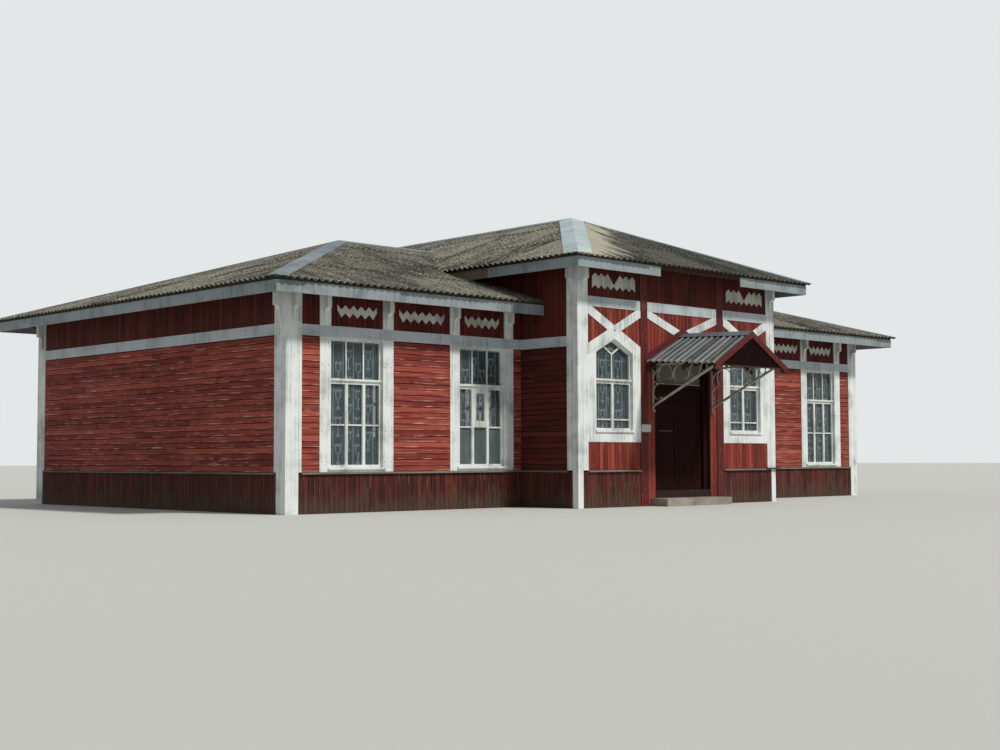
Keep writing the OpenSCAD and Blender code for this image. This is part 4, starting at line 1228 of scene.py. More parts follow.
        for name, side in (("front", -1), ("rear", 1)):
            wall = Wall(p.center_face(side), random.Random(f"centre {name}"))
            for sign in (-1, 1):
                ends = span(sign, left, right)
                self.upright(wall, wall.main, ends, over_braces, p.center_band)
                self.upright(wall, wall.upper, ends, band_top, top)
                self.upright(wall, wall.main, ends, p.ledge_z + self.end_gap, p.apron_foot)
                self.upright(wall, wall.main, span(sign, p.door_half, p.bay), self.end_gap, p.center_band)
                self.footing(wall, span(sign, left, p.center_half - p.center_post))
            self.upright(wall, wall.main, (-p.door_half, p.door_half), over_braces, p.center_band)
            self.upright(wall, wall.upper, (-p.bay, p.bay), band_top, top)
            self.finish(wall, f"{name}_centre", "frieze", self.finishes.upright_red)


# Roof

Side = tuple[tuple[float, float], tuple[float, float]]


@dataclass
class WavySheets(Assembly):
    """Rows of waved sheets that lie on the roof slopes, each row lapping the one below it."""

    wave: float = 0.15
    steps: int = 8
    height: float = 0.044
    thickness: float = 0.007
    lowest: float = -0.0405
    row: float = 1.6
    lap: float = 0.13
    sheet_waves: int = 7
    skew: float = 0.02
    raised: float = 0.0015
    sliver: float = 0.05

    def strip(self, columns: int) -> Object:
        """A flat grid of three bands from eave to ridge, with one UV map.

        Args:
            columns: How many columns it has.
        Returns:
            The grid, one unit long and wide.
        """
        deselect_all()
        bpy.ops.mesh.primitive_grid_add(x_subdivisions=columns, y_subdivisions=3, size=1, location=(0, 0, 0))
        obj = bpy.context.object
        while obj.data.uv_layers:
            obj.data.uv_layers.remove(obj.data.uv_layers[0])
        obj.data.uv_layers.new(name="sheet")
        return obj

    def slope(self, corner: Vector, along: Vector, inward: Vector, length: float, run: float, rise: float,
              cuts: list[list[Side]], seed: str) -> list[Object]:
        """Builds one slope, row by row.

        Args:
            corner: Lower corner of the slope at the level of the sheet tops.
            along: Level direction of the eave.
            inward: Level direction up the slope.
            length: Length of the eave.
            run: Level distance from the eave to the top.
            rise: Rise in a level metre.
            cuts: Sets of upright planes, each a point and its outward normal; every set leaves one part.
            seed: Seeds the chance differences between sheets.
        Returns:
            The parts as mesh objects.
        """
        draw = random.Random(seed)
        lift = math.sqrt(1 + rise * rise)
        up_slope = (inward + UP * rise) / lift
        normal = along.cross(up_slope).normalized()
        if normal.z < 0:
            normal = -normal
        parts = []
        start = 0.0
        total = run * lift
        sheet = self.wave * self.sheet_waves
        sheets = int(length / sheet) + 2
        while start < total - self.sliver:
            end = min(start + self.row + self.lap, total)
            obj = self.strip(math.ceil(length / self.wave * self.steps))
            mesh = obj.data
            co = np.empty(len(mesh.vertices) * 3)
            mesh.vertices.foreach_get("co", co)
            u, share = (co.reshape(-1, 3)[:, :2] + 0.5).T
            u = u * length
            drop = np.array([draw.uniform(-self.skew, self.skew) for _ in range(sheets)])
            raised = np.array([draw.uniform(0, self.raised) for _ in range(sheets)])
            tones = np.array([draw.random() for _ in range(sheets)])
            which = np.minimum((u / sheet).astype(int), sheets - 1)
            v = start + share * (end - start) + np.where(share < 0.01, drop[which], 0.0)
            phase = 0.5 - 0.5 * np.cos(2 * np.pi * u / self.wave)
            out = self.lowest + self.height * phase + (1 - share) * 1.2 * self.thickness + raised[which]
            spots = np.array(corner) + sum(np.outer(far, np.array(way))
                                           for far, way in ((u, along), (v, up_slope), (out, normal)))
            mesh.vertices.foreach_set("co", spots.ravel())
            carry(mesh, "tone", tones[which])
            carry(mesh, "wave", phase)
            loops = np.empty(len(mesh.loops), int)
            mesh.loops.foreach_get("vertex_index", loops)
            mesh.uv_layers["sheet"].data.foreach_set("uv", np.stack([u[loops], v[loops]], 1).ravel())
            for planes in cuts:
                part = twin(obj)
                for place, outward in planes:
                    cut_off(part, (*place, 0), (*outward, 0))
                if part.data.polygons:
                    parts.append(part)
                else:
                    bpy.data.objects.remove(part)
            bpy.data.objects.remove(obj)
            start += self.row
        return parts

    def thicken(self, half: list[Object], name: str, node: str) -> None:
        """Makes the sheets of a roof one piece with its thickness, which stands for a node.

        Args:
            half: The sheets of one half of the roof; the other half is the same, turned half round.
            name: Name of the piece.
            node: The node it stands for.
        """
        obj = joined(with_copies(half, HALF_TURN), name)
        activate(obj)
        bpy.ops.object.mode_set(mode="EDIT")
        bpy.ops.mesh.select_all(action="SELECT")
        bpy.ops.mesh.normals_make_consistent(inside=False)
        bpy.ops.object.mode_set(mode="OBJECT")
        solid = obj.modifiers.new("thickness", "SOLIDIFY")
        solid.thickness, solid.offset = self.thickness, -1
        apply_modifiers(obj)
        smooth(obj, 35)
        dress(obj, self.finishes.roof, "roof_sheets")
        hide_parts(node)

    def build(self) -> None:
        """Builds the sheets of the wings and of the centre."""
        p = self.plan
        hx, hy = p.wing_end + p.wing_over, p.wing_half + p.wing_over
        cx, cy = p.center_half + p.center_over, p.front + p.center_over
        east, north, west, south = (Vector(way) for way in ((1, 0, 0), (0, 1, 0), (-1, 0, 0), (0, -1, 0)))
        ridge_z = p.wing_eave + hy * p.wing_rise
        # the valleys run from tip, at the wing ridge, to mouth, on the eave of the centre
        tip = cx - (ridge_z - p.center_eave) / p.center_rise
        mouth = hy - (p.center_eave - p.wing_eave) / p.wing_rise
        off_valley = Vector((-mouth, -(cx - tip))).normalized()

        def beside_centre(y: float) -> list[list[Side]]:
            """Cuts of a long slope of the wing, whose hip starts at y: beside the centre and over it."""
            hip = ((hx, y), (1, math.copysign(1, -y)))
            return [[hip, ((p.center_half, 0), (-1, 0))],
                    [hip, ((p.center_half, 0), (1, 0)),
                     ((tip, 0), (off_valley.x, math.copysign(off_valley.y, y)))]]

        front = self.slope(Vector((tip, -hy, p.wing_eave)), east, north, hx - tip, hy, p.wing_rise,
                           beside_centre(-hy), "wing front")
        rear = self.slope(Vector((tip, hy, p.wing_eave)), east, south, hx - tip, hy, p.wing_rise,
                          beside_centre(hy), "wing rear")
        end = self.slope(Vector((hx, -hy, p.wing_eave)), north, west, 2 * hy, hy, p.wing_rise,
                         [[((hx, -hy), (-1, -1)), ((hx, hy), (-1, 1))]], "wing end")
        self.thicken(front + rear + end, "wing_wavy_sheets", "wing_roof_sheets")

        hipped = self.slope(Vector((-cx, -cy, p.center_eave)), east, north, 2 * cx, cx, p.center_rise,
                            [[((cx, -cy), (1, 1)), ((-cx, -cy), (-1, 1))]], "centre front")
        side_cuts = [[((cx, -cy), (-1, -1)), ((0, 0), (0, 1)), ((tip, 0), (mouth, cx - tip))],
                     [((cx, cy), (-1, 1)), ((0, 0), (0, -1)), ((tip, 0), (mouth, tip - cx))]]
        side = self.slope(Vector((cx, -cy, p.center_eave)), north, west, 2 * cy, cx, p.center_rise,
                          side_cuts, "centre side")
        self.thicken(hipped + side, "centre_wavy_sheets", "center_roof_sheets")


@dataclass
class Eaves(Assembly):
    """Bare battens that close the gap between the eaves boards and the waved sheets."""

    inset: float = 0.09
    thick: float = 0.018
    gap_half: float = 1.28
    side_start: float = 3.08
    clear: float = 0.025
    foot: float = 0.095
    head: float = 0.046
    bevel: float = 0.003

    def run(self, parts: list[Object], ends: tuple[float, float], place: float,
            z: tuple[float, float], turned: bool) -> None:
        """One straight batten.

        Args:
            parts: Takes the batten.
            ends: Where it starts and stops along its wall.
            place: Its outer face, counted from the middle of the plan.
            z: Its underside and its top.
            turned: Whether it runs along Y instead of X.
        """
        near, far = sorted((place, place - math.copysign(self.thick, place)))
        low, high = ((near, ends[0]), (far, ends[1])) if turned else ((ends[0], near), (ends[1], far))
        parts.append(block((*low, z[0]), (*high, z[1]), self.bevel))

    def build(self) -> None:
        """Lays the battens of the wings and of the centre."""
        p = self.plan
        parts: list[Object] = []
        wing_x, wing_y = (wall + p.wing_over - self.inset for wall in (p.wing_end, p.wing_half))
        center_x, center_y = (wall + p.center_over - self.inset for wall in (p.center_half, p.front))
        wing_z = p.wing_eave + self.inset * p.wing_rise
        center_z = p.center_eave + self.inset * p.center_rise
        wing, center = ((z - self.foot, z - self.head) for z in (wing_z, center_z))
        for side in (-1, 1):
            self.run(parts, (-wing_y, wing_y), side * wing_x, wing, True)
            for sign in (-1, 1):
                beside = span(sign, p.center_half + self.clear, wing_x)
                self.run(parts, beside, side * wing_y, wing, False)
                self.run(parts, span(sign, self.gap_half, center_x), side * center_y, center, False)
                self.run(parts, span(sign, self.side_start, center_y), side * center_x, center, True)
        dress(joined(parts, "eave_battens"), self.finishes.battens, "roof_timber")


@dataclass
class Frets(Assembly):
    """Sawn fret boards under the eaves, with teeth along both edges."""

    thick: float = 0.02
    notch: float = 0.083
    center_notch: float = 0.07
    height: float = 0.225
    end_height: float = 0.1
    center_height: float = 0.305
    gap_half: float = 0.1786
    gap_foot: float = -0.055
    over_width: float = 0.89
    between_width: float = 1.099
    center_width: float = 1.25
    wing_z: float = 0.275
    center_z: float = 0.312
    off_wall: float = 0.001

    def wing_edge(self, i: int, last: int) -> tuple[float, float]:
        """Lower and upper edge of a wing fret.

        Args:
            i: Number of the point along it.
            last: Number of the last point.
        Returns:
            Both heights about the fret's middle.
        """
        half = self.height / 2
        top = half - self.notch * (i % 2)
        if i in (0, last):
            return half - self.end_height, top
        return (-half if i % 2 else self.notch - half), top

    def center_edge(self, i: int, last: int) -> tuple[float, float]:
        """Lower and upper edge of a centre fret, whose middle is a deep notch.

        Args:
            i: Number of the point along it.
            last: Number of the last point.
        Returns:
            Both heights about the fret's middle.
        """
        half = self.center_height / 2
        top = half - self.center_notch * (1 - i % 2)
        share = abs(i - last / 2) * self.center_width / last / self.gap_half
        if share < 1:
            top = min(top, self.gap_foot + (half - self.gap_foot) * share)
        return (self.center_notch - half if i % 2 else -half), top

    def board(self, width: float, teeth: int, edge: Callable[[int, int], tuple[float, float]]) -> Pattern:
        """One fret board about its middle, with its back on y = 0.

        Args:
            width: Its length.
            teeth: How many teeth it has.
            edge: Gives the lower and upper edge at each point.
        Returns:
            The board as a pattern.
        """
        last = 2 * teeth
        points = [(i * width / last - width / 2, edge(i, last)) for i in range(last + 1)]
        obj = strip([(x, 0, low) for x, (low, _) in points], [(x, 0, high) for x, (_, high) in points])
        solid = obj.modifiers.new("thickness", "SOLIDIFY")
        solid.thickness, solid.offset = self.thick, 0
        bevel = obj.modifiers.new("edges", "BEVEL")
        bevel.width, bevel.segments, bevel.limit_method = 0.002, 1, "ANGLE"
        apply_modifiers(obj)
        obj.data.transform(Matrix.Translation((0, self.thick / 2 + self.off_wall, 0)))
        return Pattern(obj)

    def build(self) -> None:
        """Hangs the frets of all four corners."""
        p = self.plan
        outer, inner = p.wing_windows
        over = self.board(self.over_width, 5, self.wing_edge)
        between = self.board(self.between_width, 6, self.wing_edge)
        center = self.board(self.center_width, 7, self.center_edge)
        wing_z, center_z = p.wing_band + p.band_h + self.wing_z, p.center_band + p.band_h + self.center_z
        copies = Copies()
        for side in (-1, 1):
            wall, front = p.wing_face(side), p.center_face(side)
            axes = (wall.side, wall.out, UP)
            for sign in (-1, 1):
                for x, pattern in ((outer, over), (inner, over), ((outer + inner) / 2, between)):
                    copies.add(pattern, wall.point(sign * x, wing_z), axes)
                copies.add(center, front.point(sign * sum(p.panel) / 2, center_z), axes)
        frets = dress(copies.piece("fret_boards"), self.finishes.white_fret, "white_boards")
        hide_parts("fretwork")


@dataclass
class Braces(Assembly):
    """The upper board of each pair of crossed braces, planed a little thicker than the one it laps."""

    proud: float = 0.009
    tall: float = 0.1967
    half: float = 1.2
    bevel: float = 0.003

    def build(self) -> None:
        """Lays the upper boards on both fronts."""
        p = self.plan
        left, right = p.panel
        angle = math.atan2(p.brace_rise, right - left)
        face, upright = -p.front - p.trim_t, self.tall * math.cos(angle)
        board = block((-self.half, face - self.proud, -upright / 2), (self.half, face, upright / 2),
                      self.bevel)
        board.data.transform(Matrix.Translation((-(left + right) / 2, 0, p.brace_top - p.brace_rise / 2))
                             @ Matrix.Rotation(-angle, 4, "Y"))
        for place, outward in (((-right, 0, 0), (-1, 0, 0)), ((-left, 0, 0), (1, 0, 0)),
                               ((0, 0, p.center_band), (0, 0, 1))):
            cut_off(board, place, outward)
        dress(joined(fourfold([board]), "upper_brace_boards"), self.finishes.white_mixed, "white_boards")


# Door roof

def ribbon(low: Sequence[Sequence[float]], high: Sequence[Sequence[float]], thick: float,
           bevel: float = 0.0) -> Object:
    """A strip of sheet between two rows of points, given its thickness.

    Args:
        low: Points of one edge.
        high: Points of the other edge, as many.
        thick: Thickness, half on either side.
        bevel: Width of the bevel, or 0 for none.
    Returns:
        The strip as a mesh object.
    """
    obj = strip(low, high)
    solid = obj.modifiers.new("thickness", "SOLIDIFY")
    solid.thickness, solid.offset, solid.use_even_offset = thick, 0, True
    if bevel:
        edges = obj.modifiers.new("edges", "BEVEL")
        edges.width, edges.segments = bevel, 1
        edges.limit_method, edges.angle_limit = "ANGLE", math.radians(50)
    apply_modifiers(obj)
    return obj


@dataclass
class Canopy(Assembly):
    """Sheets, ridge cap and rake boards of the door roof, which sags from the wall towards its front."""

    apex: float = 3.43
    half: float = 1.13
    depth: float = 1.78
    rise: float = math.tan(math.radians(30))
    wave: float = 0.15
    height: float = 0.035
    back: float = 6.203
    first_valley: float = 7.8905
    ridge_lift: float = 0.06
    eave_lift: float = 0.12
    widening: float = 0.04
    board_t: float = 0.025
    sheet_t: float = 0.006
    cap_t: float = 0.004
    cap_half: float = 0.165
    crease: float = 0.02

    def top(self, x: float, y: float) -> Vector:
        """A point of the plane on which the ridges of the sheets lie.

        Args:
            x: Distance from the middle, at the front.
            y: Place, with the wall at -6.15 and the front at -7.93.
        Returns:
            The point.
        """
        at_wall = 1 - (-y - self.plan.front) / self.depth
        share = x / self.half
        lift = at_wall * (self.ridge_lift + (self.eave_lift - self.ridge_lift) * share)
        return Vector((x + at_wall * self.widening * share, y, self.apex - x * self.rise + lift))

    def sheets(self) -> list[Object]:
        """The waved sheets of one slope, a strip for every stretch from eave to ridge."""
        steps, bands = 90, 4
        upright = math.hypot(1, self.rise)
        rows = []
        for band in range(bands + 1):
            row = []
            for i in range(steps + 1):
                y = self.back + (self.first_valley - self.back) * i / steps
                wave = -0.5 - 0.5 * math.cos(2 * math.pi * (self.first_valley - y) / self.wave)
                drop = self.height * wave * upright - self.cap_t
                row.append(self.top(self.half * band / bands, -y) + UP * drop)
            rows.append(row)
        return [ribbon(a, b, self.sheet_t) for a, b in zip(rows, rows[1:])]

    def caps(self) -> list[Object]:
        """One side of the ridge cap, with a rounded crease."""
        front, back = -self.plan.front - self.depth, -self.back
        parts = []
        for edges in ((0.0, self.crease), (self.crease, self.cap_half)):
            low, high = [[self.top(x, y) + UP * (self.cap_t if x else 0.0) for y in (front, back)]
                         for x in edges]
            parts.append(ribbon(low, high, self.cap_t))
        return parts

    def rake(self, y: float, above: float, below: float) -> Object:
        """One side of a pair of rake boards.

        Args:
            y: Middle of its thickness.
            above: How far it stands above the ridges of the sheets.
            below: How far it hangs below them.
        Returns:
            The board.
        """
        ends = [self.top(x, y) for x in (0.0, self.half + self.board_t)]
        return ribbon([p - UP * below for p in ends], [p + UP * above for p in ends], self.board_t, 0.003)

    def build(self) -> None:
        """Builds the door roofs of front and rear."""
        front = -self.plan.front - self.depth
        f = self.finishes
        rakes = [self.rake(front + self.board_t / 2, 0.0, 0.136),
                 self.rake(-self.back + self.board_t / 2, 0.105, 0.105)]
        for name, parts, material, slot, node in (
                ("canopy_wavy_sheets", self.sheets(), f.canopy, "canopy_metal", "canopy_sheets"),
                ("canopy_ridge_cap", self.caps(), f.caps, "grey_metal", "canopy_ridge_caps"),
                ("canopy_rakes", rakes, f.trim_red, "red_boards", "canopy_rake_boards")):
            piece = joined(fourfold(parts), name)
            if node == "canopy_sheets":
                smooth(piece, 40)
            dress(piece, material, slot)
            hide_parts(node)


@dataclass
class Brackets(Assembly):
    """Wrought-iron brackets of the door roof: wall bar, rail, strut, rings and scrolls of flat iron."""

    x: float = 0.94
    bar: float = 0.036
    band: float = 0.028
    flat: float = 0.009
    foot_z: float = 1.898
    top_z: float = 2.828
    reach: float = 1.647
    strut_foot: float = 1.975
    strut_end: float = 2.765
    strut_half: float = 0.027
    ring: float = 0.19
    curl: float = 0.036
    rings: tuple[float, float, float, float] = (0.349, 0.753, 1.094, 1.318)
    rail_end: float = 1.73
    big_scroll: float = 0.165
    bevel: float = 0.004

    def strut_top(self, u: float) -> float:
        """Height of the strut's upper side at u from the wall."""
        return self.strut_foot + (self.strut_end - self.strut_foot) * u / self.reach + self.strut_half * 1.12

    def bent(self, points: Sequence[tuple[float, float]]) -> Object:
        """Flat iron bent through points given as distance from the wall and height."""
        wall = -self.plan.front
        low, high = [[(self.x + side * self.band / 2, wall - u, z) for u, z in points] for side in (-1, 1)]
        return ribbon(low, high, self.flat)

    def arc(self, u: float, z: float, r: float, start: float, end: float) -> Object:
        """Flat iron bent to an arc.

        Args:
            u: Its middle, from the wall.
            z: Height of its middle.
            r: Its outer radius.
            start: First angle in degrees, from straight out and turning up.
            end: Last angle.
        Returns:
            The bent iron.
        """
        r -= self.flat / 2
        steps = max(6, round(abs(end - start) / 14))
        angles = [math.radians(start + (end - start) * i / steps) for i in range(steps + 1)]
        return self.bent([(u + r * math.cos(a), z + r * math.sin(a)) for a in angles])

    def spiral(self, u: float, z: float, r: float, start: float, turn: float) -> Object:
        """A curl that tightens as it turns.

        Args:
            u: Its middle, from the wall.
            z: Height of its middle.
            r: Its first radius.
            start: First angle in degrees.
            turn: How far it turns in degrees.
        Returns:
            The bent iron.
        """
        steps = max(8, round(abs(turn) / 22))
        points = []
        for i in range(steps + 1):
            a, now = math.radians(start + turn * i / steps), r * (1 - 0.6 * i / steps)
            points.append((u + now * math.cos(a), z + now * math.sin(a)))
        return self.bent(points)

    def one(self) -> list[Object]:
        """The parts of one bracket, right of the door."""
        wall, half = -self.plan.front, self.bar / 2
        rail = self.top_z - self.bar
        rise = self.strut_end - self.strut_foot
        upright = block((self.x - half, wall - self.bar, self.foot_z), (self.x + half, wall, self.top_z),
                        self.bevel)
        level = block((self.x - half, wall - self.rail_end, rail),
                      (self.x + half, wall - self.bar, self.top_z), self.bevel)
        deselect_all()
        bpy.ops.mesh.primitive_cylinder_add(vertices=14, radius=self.strut_half,
                                            depth=math.hypot(self.reach, rise), location=(0, 0, 0))
        strut = bpy.context.object
        middle = (self.x, wall - self.reach / 2, self.strut_foot + rise / 2)
        strut.data.transform(Matrix.Translation(middle)
                             @ Matrix.Rotation(math.atan2(self.reach, rise), 4, "X"))
        smooth(strut, 40)
        return [upright, level, strut] + self.scrolls(rail + 0.003)

    def scrolls(self, rail: float) -> list[Object]:
        """Rings and scrolls of one bracket.

        Args:
            rail: Height at which the rings touch the rail.
        Returns:
            The bent irons.
        """
        first, second, *small = self.rings
        hung = rail - self.ring
        parts = [self.arc(first, hung, self.ring, -30, 255), self.arc(second, hung, self.ring, -40, 215)]
        for u in small:
            r = min(self.ring, (rail - self.strut_top(u)) / 2)
            parts.append(self.arc(u, rail - r, r, 0, 360))
        end = math.radians(-40)
        inner = self.ring - self.flat / 2 - self.curl
        parts.append(self.spiral(second + inner * math.cos(end), hung + inner * math.sin(end), self.curl,
                                 -40, -330))
        parts.append(self.bent([(0.03, 2.565), (0.075, 2.64), (0.14, 2.71), (0.225, 2.765)]))
        # a big scroll in the corner of the wall bar and the strut, with a curl at both of its ends
        r = self.big_scroll
        u = self.bar + r - 0.006
        z = self.strut_top(u) + r
        parts.append(self.arc(u, z, r, 100, 262))
        for middle_u, middle_z, start, turn in (
                (u + 0.028, z - r + self.curl + 0.004, -110, 300),
                (self.bar + self.curl - 0.006, z + r + self.curl - 0.012, -90, -290),
                (self.bar / 2 + self.curl, self.foot_z - 0.004, 175, 300),
                (self.reach + 0.03, self.strut_end - 0.05, 100, -300)):
            parts.append(self.spiral(middle_u, middle_z, self.curl, start, turn))
        return parts

    def build(self) -> None:
        """Builds the four brackets."""
        irons = dress(joined(fourfold(self.one()), "scrolled_brackets"), self.finishes.iron, "iron")
        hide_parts("canopy_brackets")


# Windows

@dataclass
class Grilles(Assembly):
    """Iron grilles behind the glass: thin upright rods with wire tulips between them in half drop."""

    bar: float = 0.012
    wire: float = 0.012
    pitch: float = 0.224
    gap: float = 0.02
    motif: float = 0.485
    first_tulips: tuple[float, float] = (0.2, 0.43)
    wing_panel: tuple[float, float, float, float] = (0.55, 0.84, 3.03, 3.03)
    center_panel: tuple[float, float, float, float] = (0.44, 1.53, 2.86, 3.15)

    def strand(self, points: Sequence[tuple[float, float]]) -> list[Object]:
        """Square wire bent through points.

        Args:
            points: X and Z of each point.
        Returns:
            The straight stretches between them.
        """
        half = self.wire / 2
        parts = []
        for (x0, z0), (x1, z1) in zip(points, points[1:]):
            along, up = x1 - x0, z1 - z0
            piece = block((-half, -half, -half / 2), (half, half, math.hypot(along, up) + half / 2))
            piece.data.transform(Matrix.Translation((x0, 0, z0))
                                 @ Matrix.Rotation(math.atan2(along, up), 4, "Y"))
            parts.append(piece)
        return parts

    def tulip(self) -> Pattern:
        """A tulip on its stem, drawn in X and Z about the foot of its cup."""
        bowl = [(0.055 * math.sin(a), 0.06 - 0.06 * math.cos(a))
                for a in np.linspace(-math.pi / 2, math.pi / 2, 7)]
        parts = self.strand([(-0.05, 0.115), *bowl, (0.05, 0.115)])
        for side in (-1, 1):
            parts += self.strand([(side * 0.05, 0.115), (side * 0.088, 0.172)])
            parts += self.strand([(side * 0.05, 0.115), (side * 0.035, 0.175), (0, 0.125)])
            parts += self.strand([(0, -0.13), (side * 0.04, -0.175)])
        parts += self.strand([(0, -0.2), (0, 0)])
        return Pattern(joined(parts, "tulip"))

    def build(self) -> None:
        """Sets a grille behind every window."""
        p = self.plan
        half = self.bar / 2
        self.flower = self.tulip()
        self.rod = Pattern(block((-half, -half, 0), (half, half, 1)))
        for side, name in ((-1, "front"), (1, "rear")):
            copies = Copies()
            for sign in (-1, 1):
                for x in p.wing_windows:
                    self.panel(copies, p.wing_face(side), sign * x, *self.wing_panel)
                self.panel(copies, p.center_face(side), sign * sum(p.panel) / 2, *self.center_panel)
            dress(copies.piece(f"{name}_window_grilles"), self.finishes.grille, "iron")
        self.whitewash()

    def panel(self, copies: Copies, face: Face, t: float, half: float, z0: float, z1: float,
              top: float) -> None:
        """One grille.

        Args:
            copies: Takes its bars and flowers.
            face: The wall face of the window.
            t: Middle of the window.
            half: Half width of the grille.
            z0: Foot.
            z1: Height at its sides.
            top: Height at its middle.
        """
        side = face.side
        middle = face.point(t, 0.0, -self.plan.glass_in - self.gap)
        count = int(2 * half / self.pitch)
        for i in range(count + 1):
            s = (i - count / 2) * self.pitch
            tall = z1 + (top - z1) * (1 - abs(s) / half)
            copies.add(self.rod, middle + UP * z0 + side * s, (side, face.out, UP * (tall - z0)))
            if i == count:
                break
            z = z0 + self.first_tulips[i % 2]
            while z < tall - 0.08:
                copies.add(self.flower, middle + UP * z + side * (s + self.pitch / 2), (side, face.out, UP))
                z += self.motif
        for z in (z0, z1 - 0.01):
            copies.add(self.rod, middle + UP * z - side * half, (UP * -1, face.out, side * (2 * half)))

    def whitewash(self) -> None:
        """The whitewashed lower panes of the window beside the centre, as a sheet behind the glass."""
        p = self.plan
        x, half, glass = -p.wing_windows[1], 0.575, p.glass_in - p.wing_half
        sheet = block((x - half, glass + 0.002, 0.81), (x + half, glass + 0.006, 1.55), 0.001)
        dress(joined([sheet], "whitewashed_panes"), self.finishes.milky, "glass")


# Small things

@dataclass
class Fixings(Assembly):
    """Nail heads in pairs on the white boards, and the bolts of the crossed braces."""

    radius: float = 0.009
    jog: float = 0.006
    spacing: float = 0.55
    bolt_proud: float = 0.009
    bolt_size: float = 2.0
    band_rows: tuple[float, float] = (0.05, 0.145)
    casing_edges: tuple[float, ...] = (-0.77, -0.64, 0.64, 0.77)
    casing_rows: tuple[float, ...] = (0.9, 1.45, 2.0, 2.6, 2.98)

    def head(self) -> Pattern:
        """A domed nail head that looks along Y."""
        deselect_all()
        bpy.ops.mesh.primitive_uv_sphere_add(segments=8, ring_count=4, radius=self.radius, location=(0, 0, 0))
        obj = bpy.context.object
        obj.data.transform(Matrix.Rotation(-math.pi / 2, 4, "X") @ Matrix.Diagonal((1, 1, 0.45, 1)))
        cut_off(obj, (0, 0, 0), (0, -1, 0))
        return Pattern(obj)

    def build(self) -> None:
        """Nails the bands and casings of every side and bolts the braces."""
        p = self.plan
        head = self.head()
        copies = Copies()
        draw = random.Random("nails")

        def nail(face: Face, t: float, z: float, proud: float = 0.0, size: float = 1.0) -> None:
            """Drives one nail into a white board.

            Args:
                face: The wall face.
                t: Place along it.
                z: Height.
                proud: How far the board stands out more than others do.
                size: Size of the head, as a factor.
            """
            t, z = t + draw.uniform(-self.jog, self.jog), z + draw.uniform(-self.jog, self.jog)
            axes = (face.side * size, face.out * size, UP * size)
            copies.add(head, face.point(t, z, p.trim_t + proud), axes)

        def pairs(face: Face, ends: tuple[float, float], z: float) -> None:
            """Nails a white band in pairs.

            Args:
                face: The wall face.
                ends: Where the nails start and stop.
                z: Lower edge of the band.
            """
            left, right = ends
            count = max(2, round((right - left) / self.spacing))
            for i in range(count):
                t = left + (i + 0.5) * (right - left) / count + draw.uniform(-0.05, 0.05)
                for level in self.band_rows:
                    nail(face, t, z + level)

        # the nails of the bands stay clear of the corner boards
        for side in (-1, 1):
            front = p.center_face(side)
            pairs(p.end_face(side), (0.35 - p.wing_half, p.wing_half - 0.35), p.wing_band)
            for sign in (-1, 1):
                pairs(p.wing_face(side), span(sign, p.center_half + 0.1, p.wing_end - 0.4), p.wing_band)
                pairs(front, span(sign, *p.panel), p.center_band)
                # one larger bolt holds each pair of crossed braces
                nail(front, sign * sum(p.panel) / 2, p.brace_top - p.brace_rise / 2, self.bolt_proud,
                     self.bolt_size)
                pairs(p.return_face(side), span(sign, p.wing_half + 0.05, p.front - 0.3), p.wing_band)
                for x in p.wing_windows:
                    for edge in self.casing_edges:
                        for z in self.casing_rows:
                            nail(p.wing_face(side), sign * x + edge, z)
        dress(copies.piece("nail_heads"), self.finishes.nails, "iron")


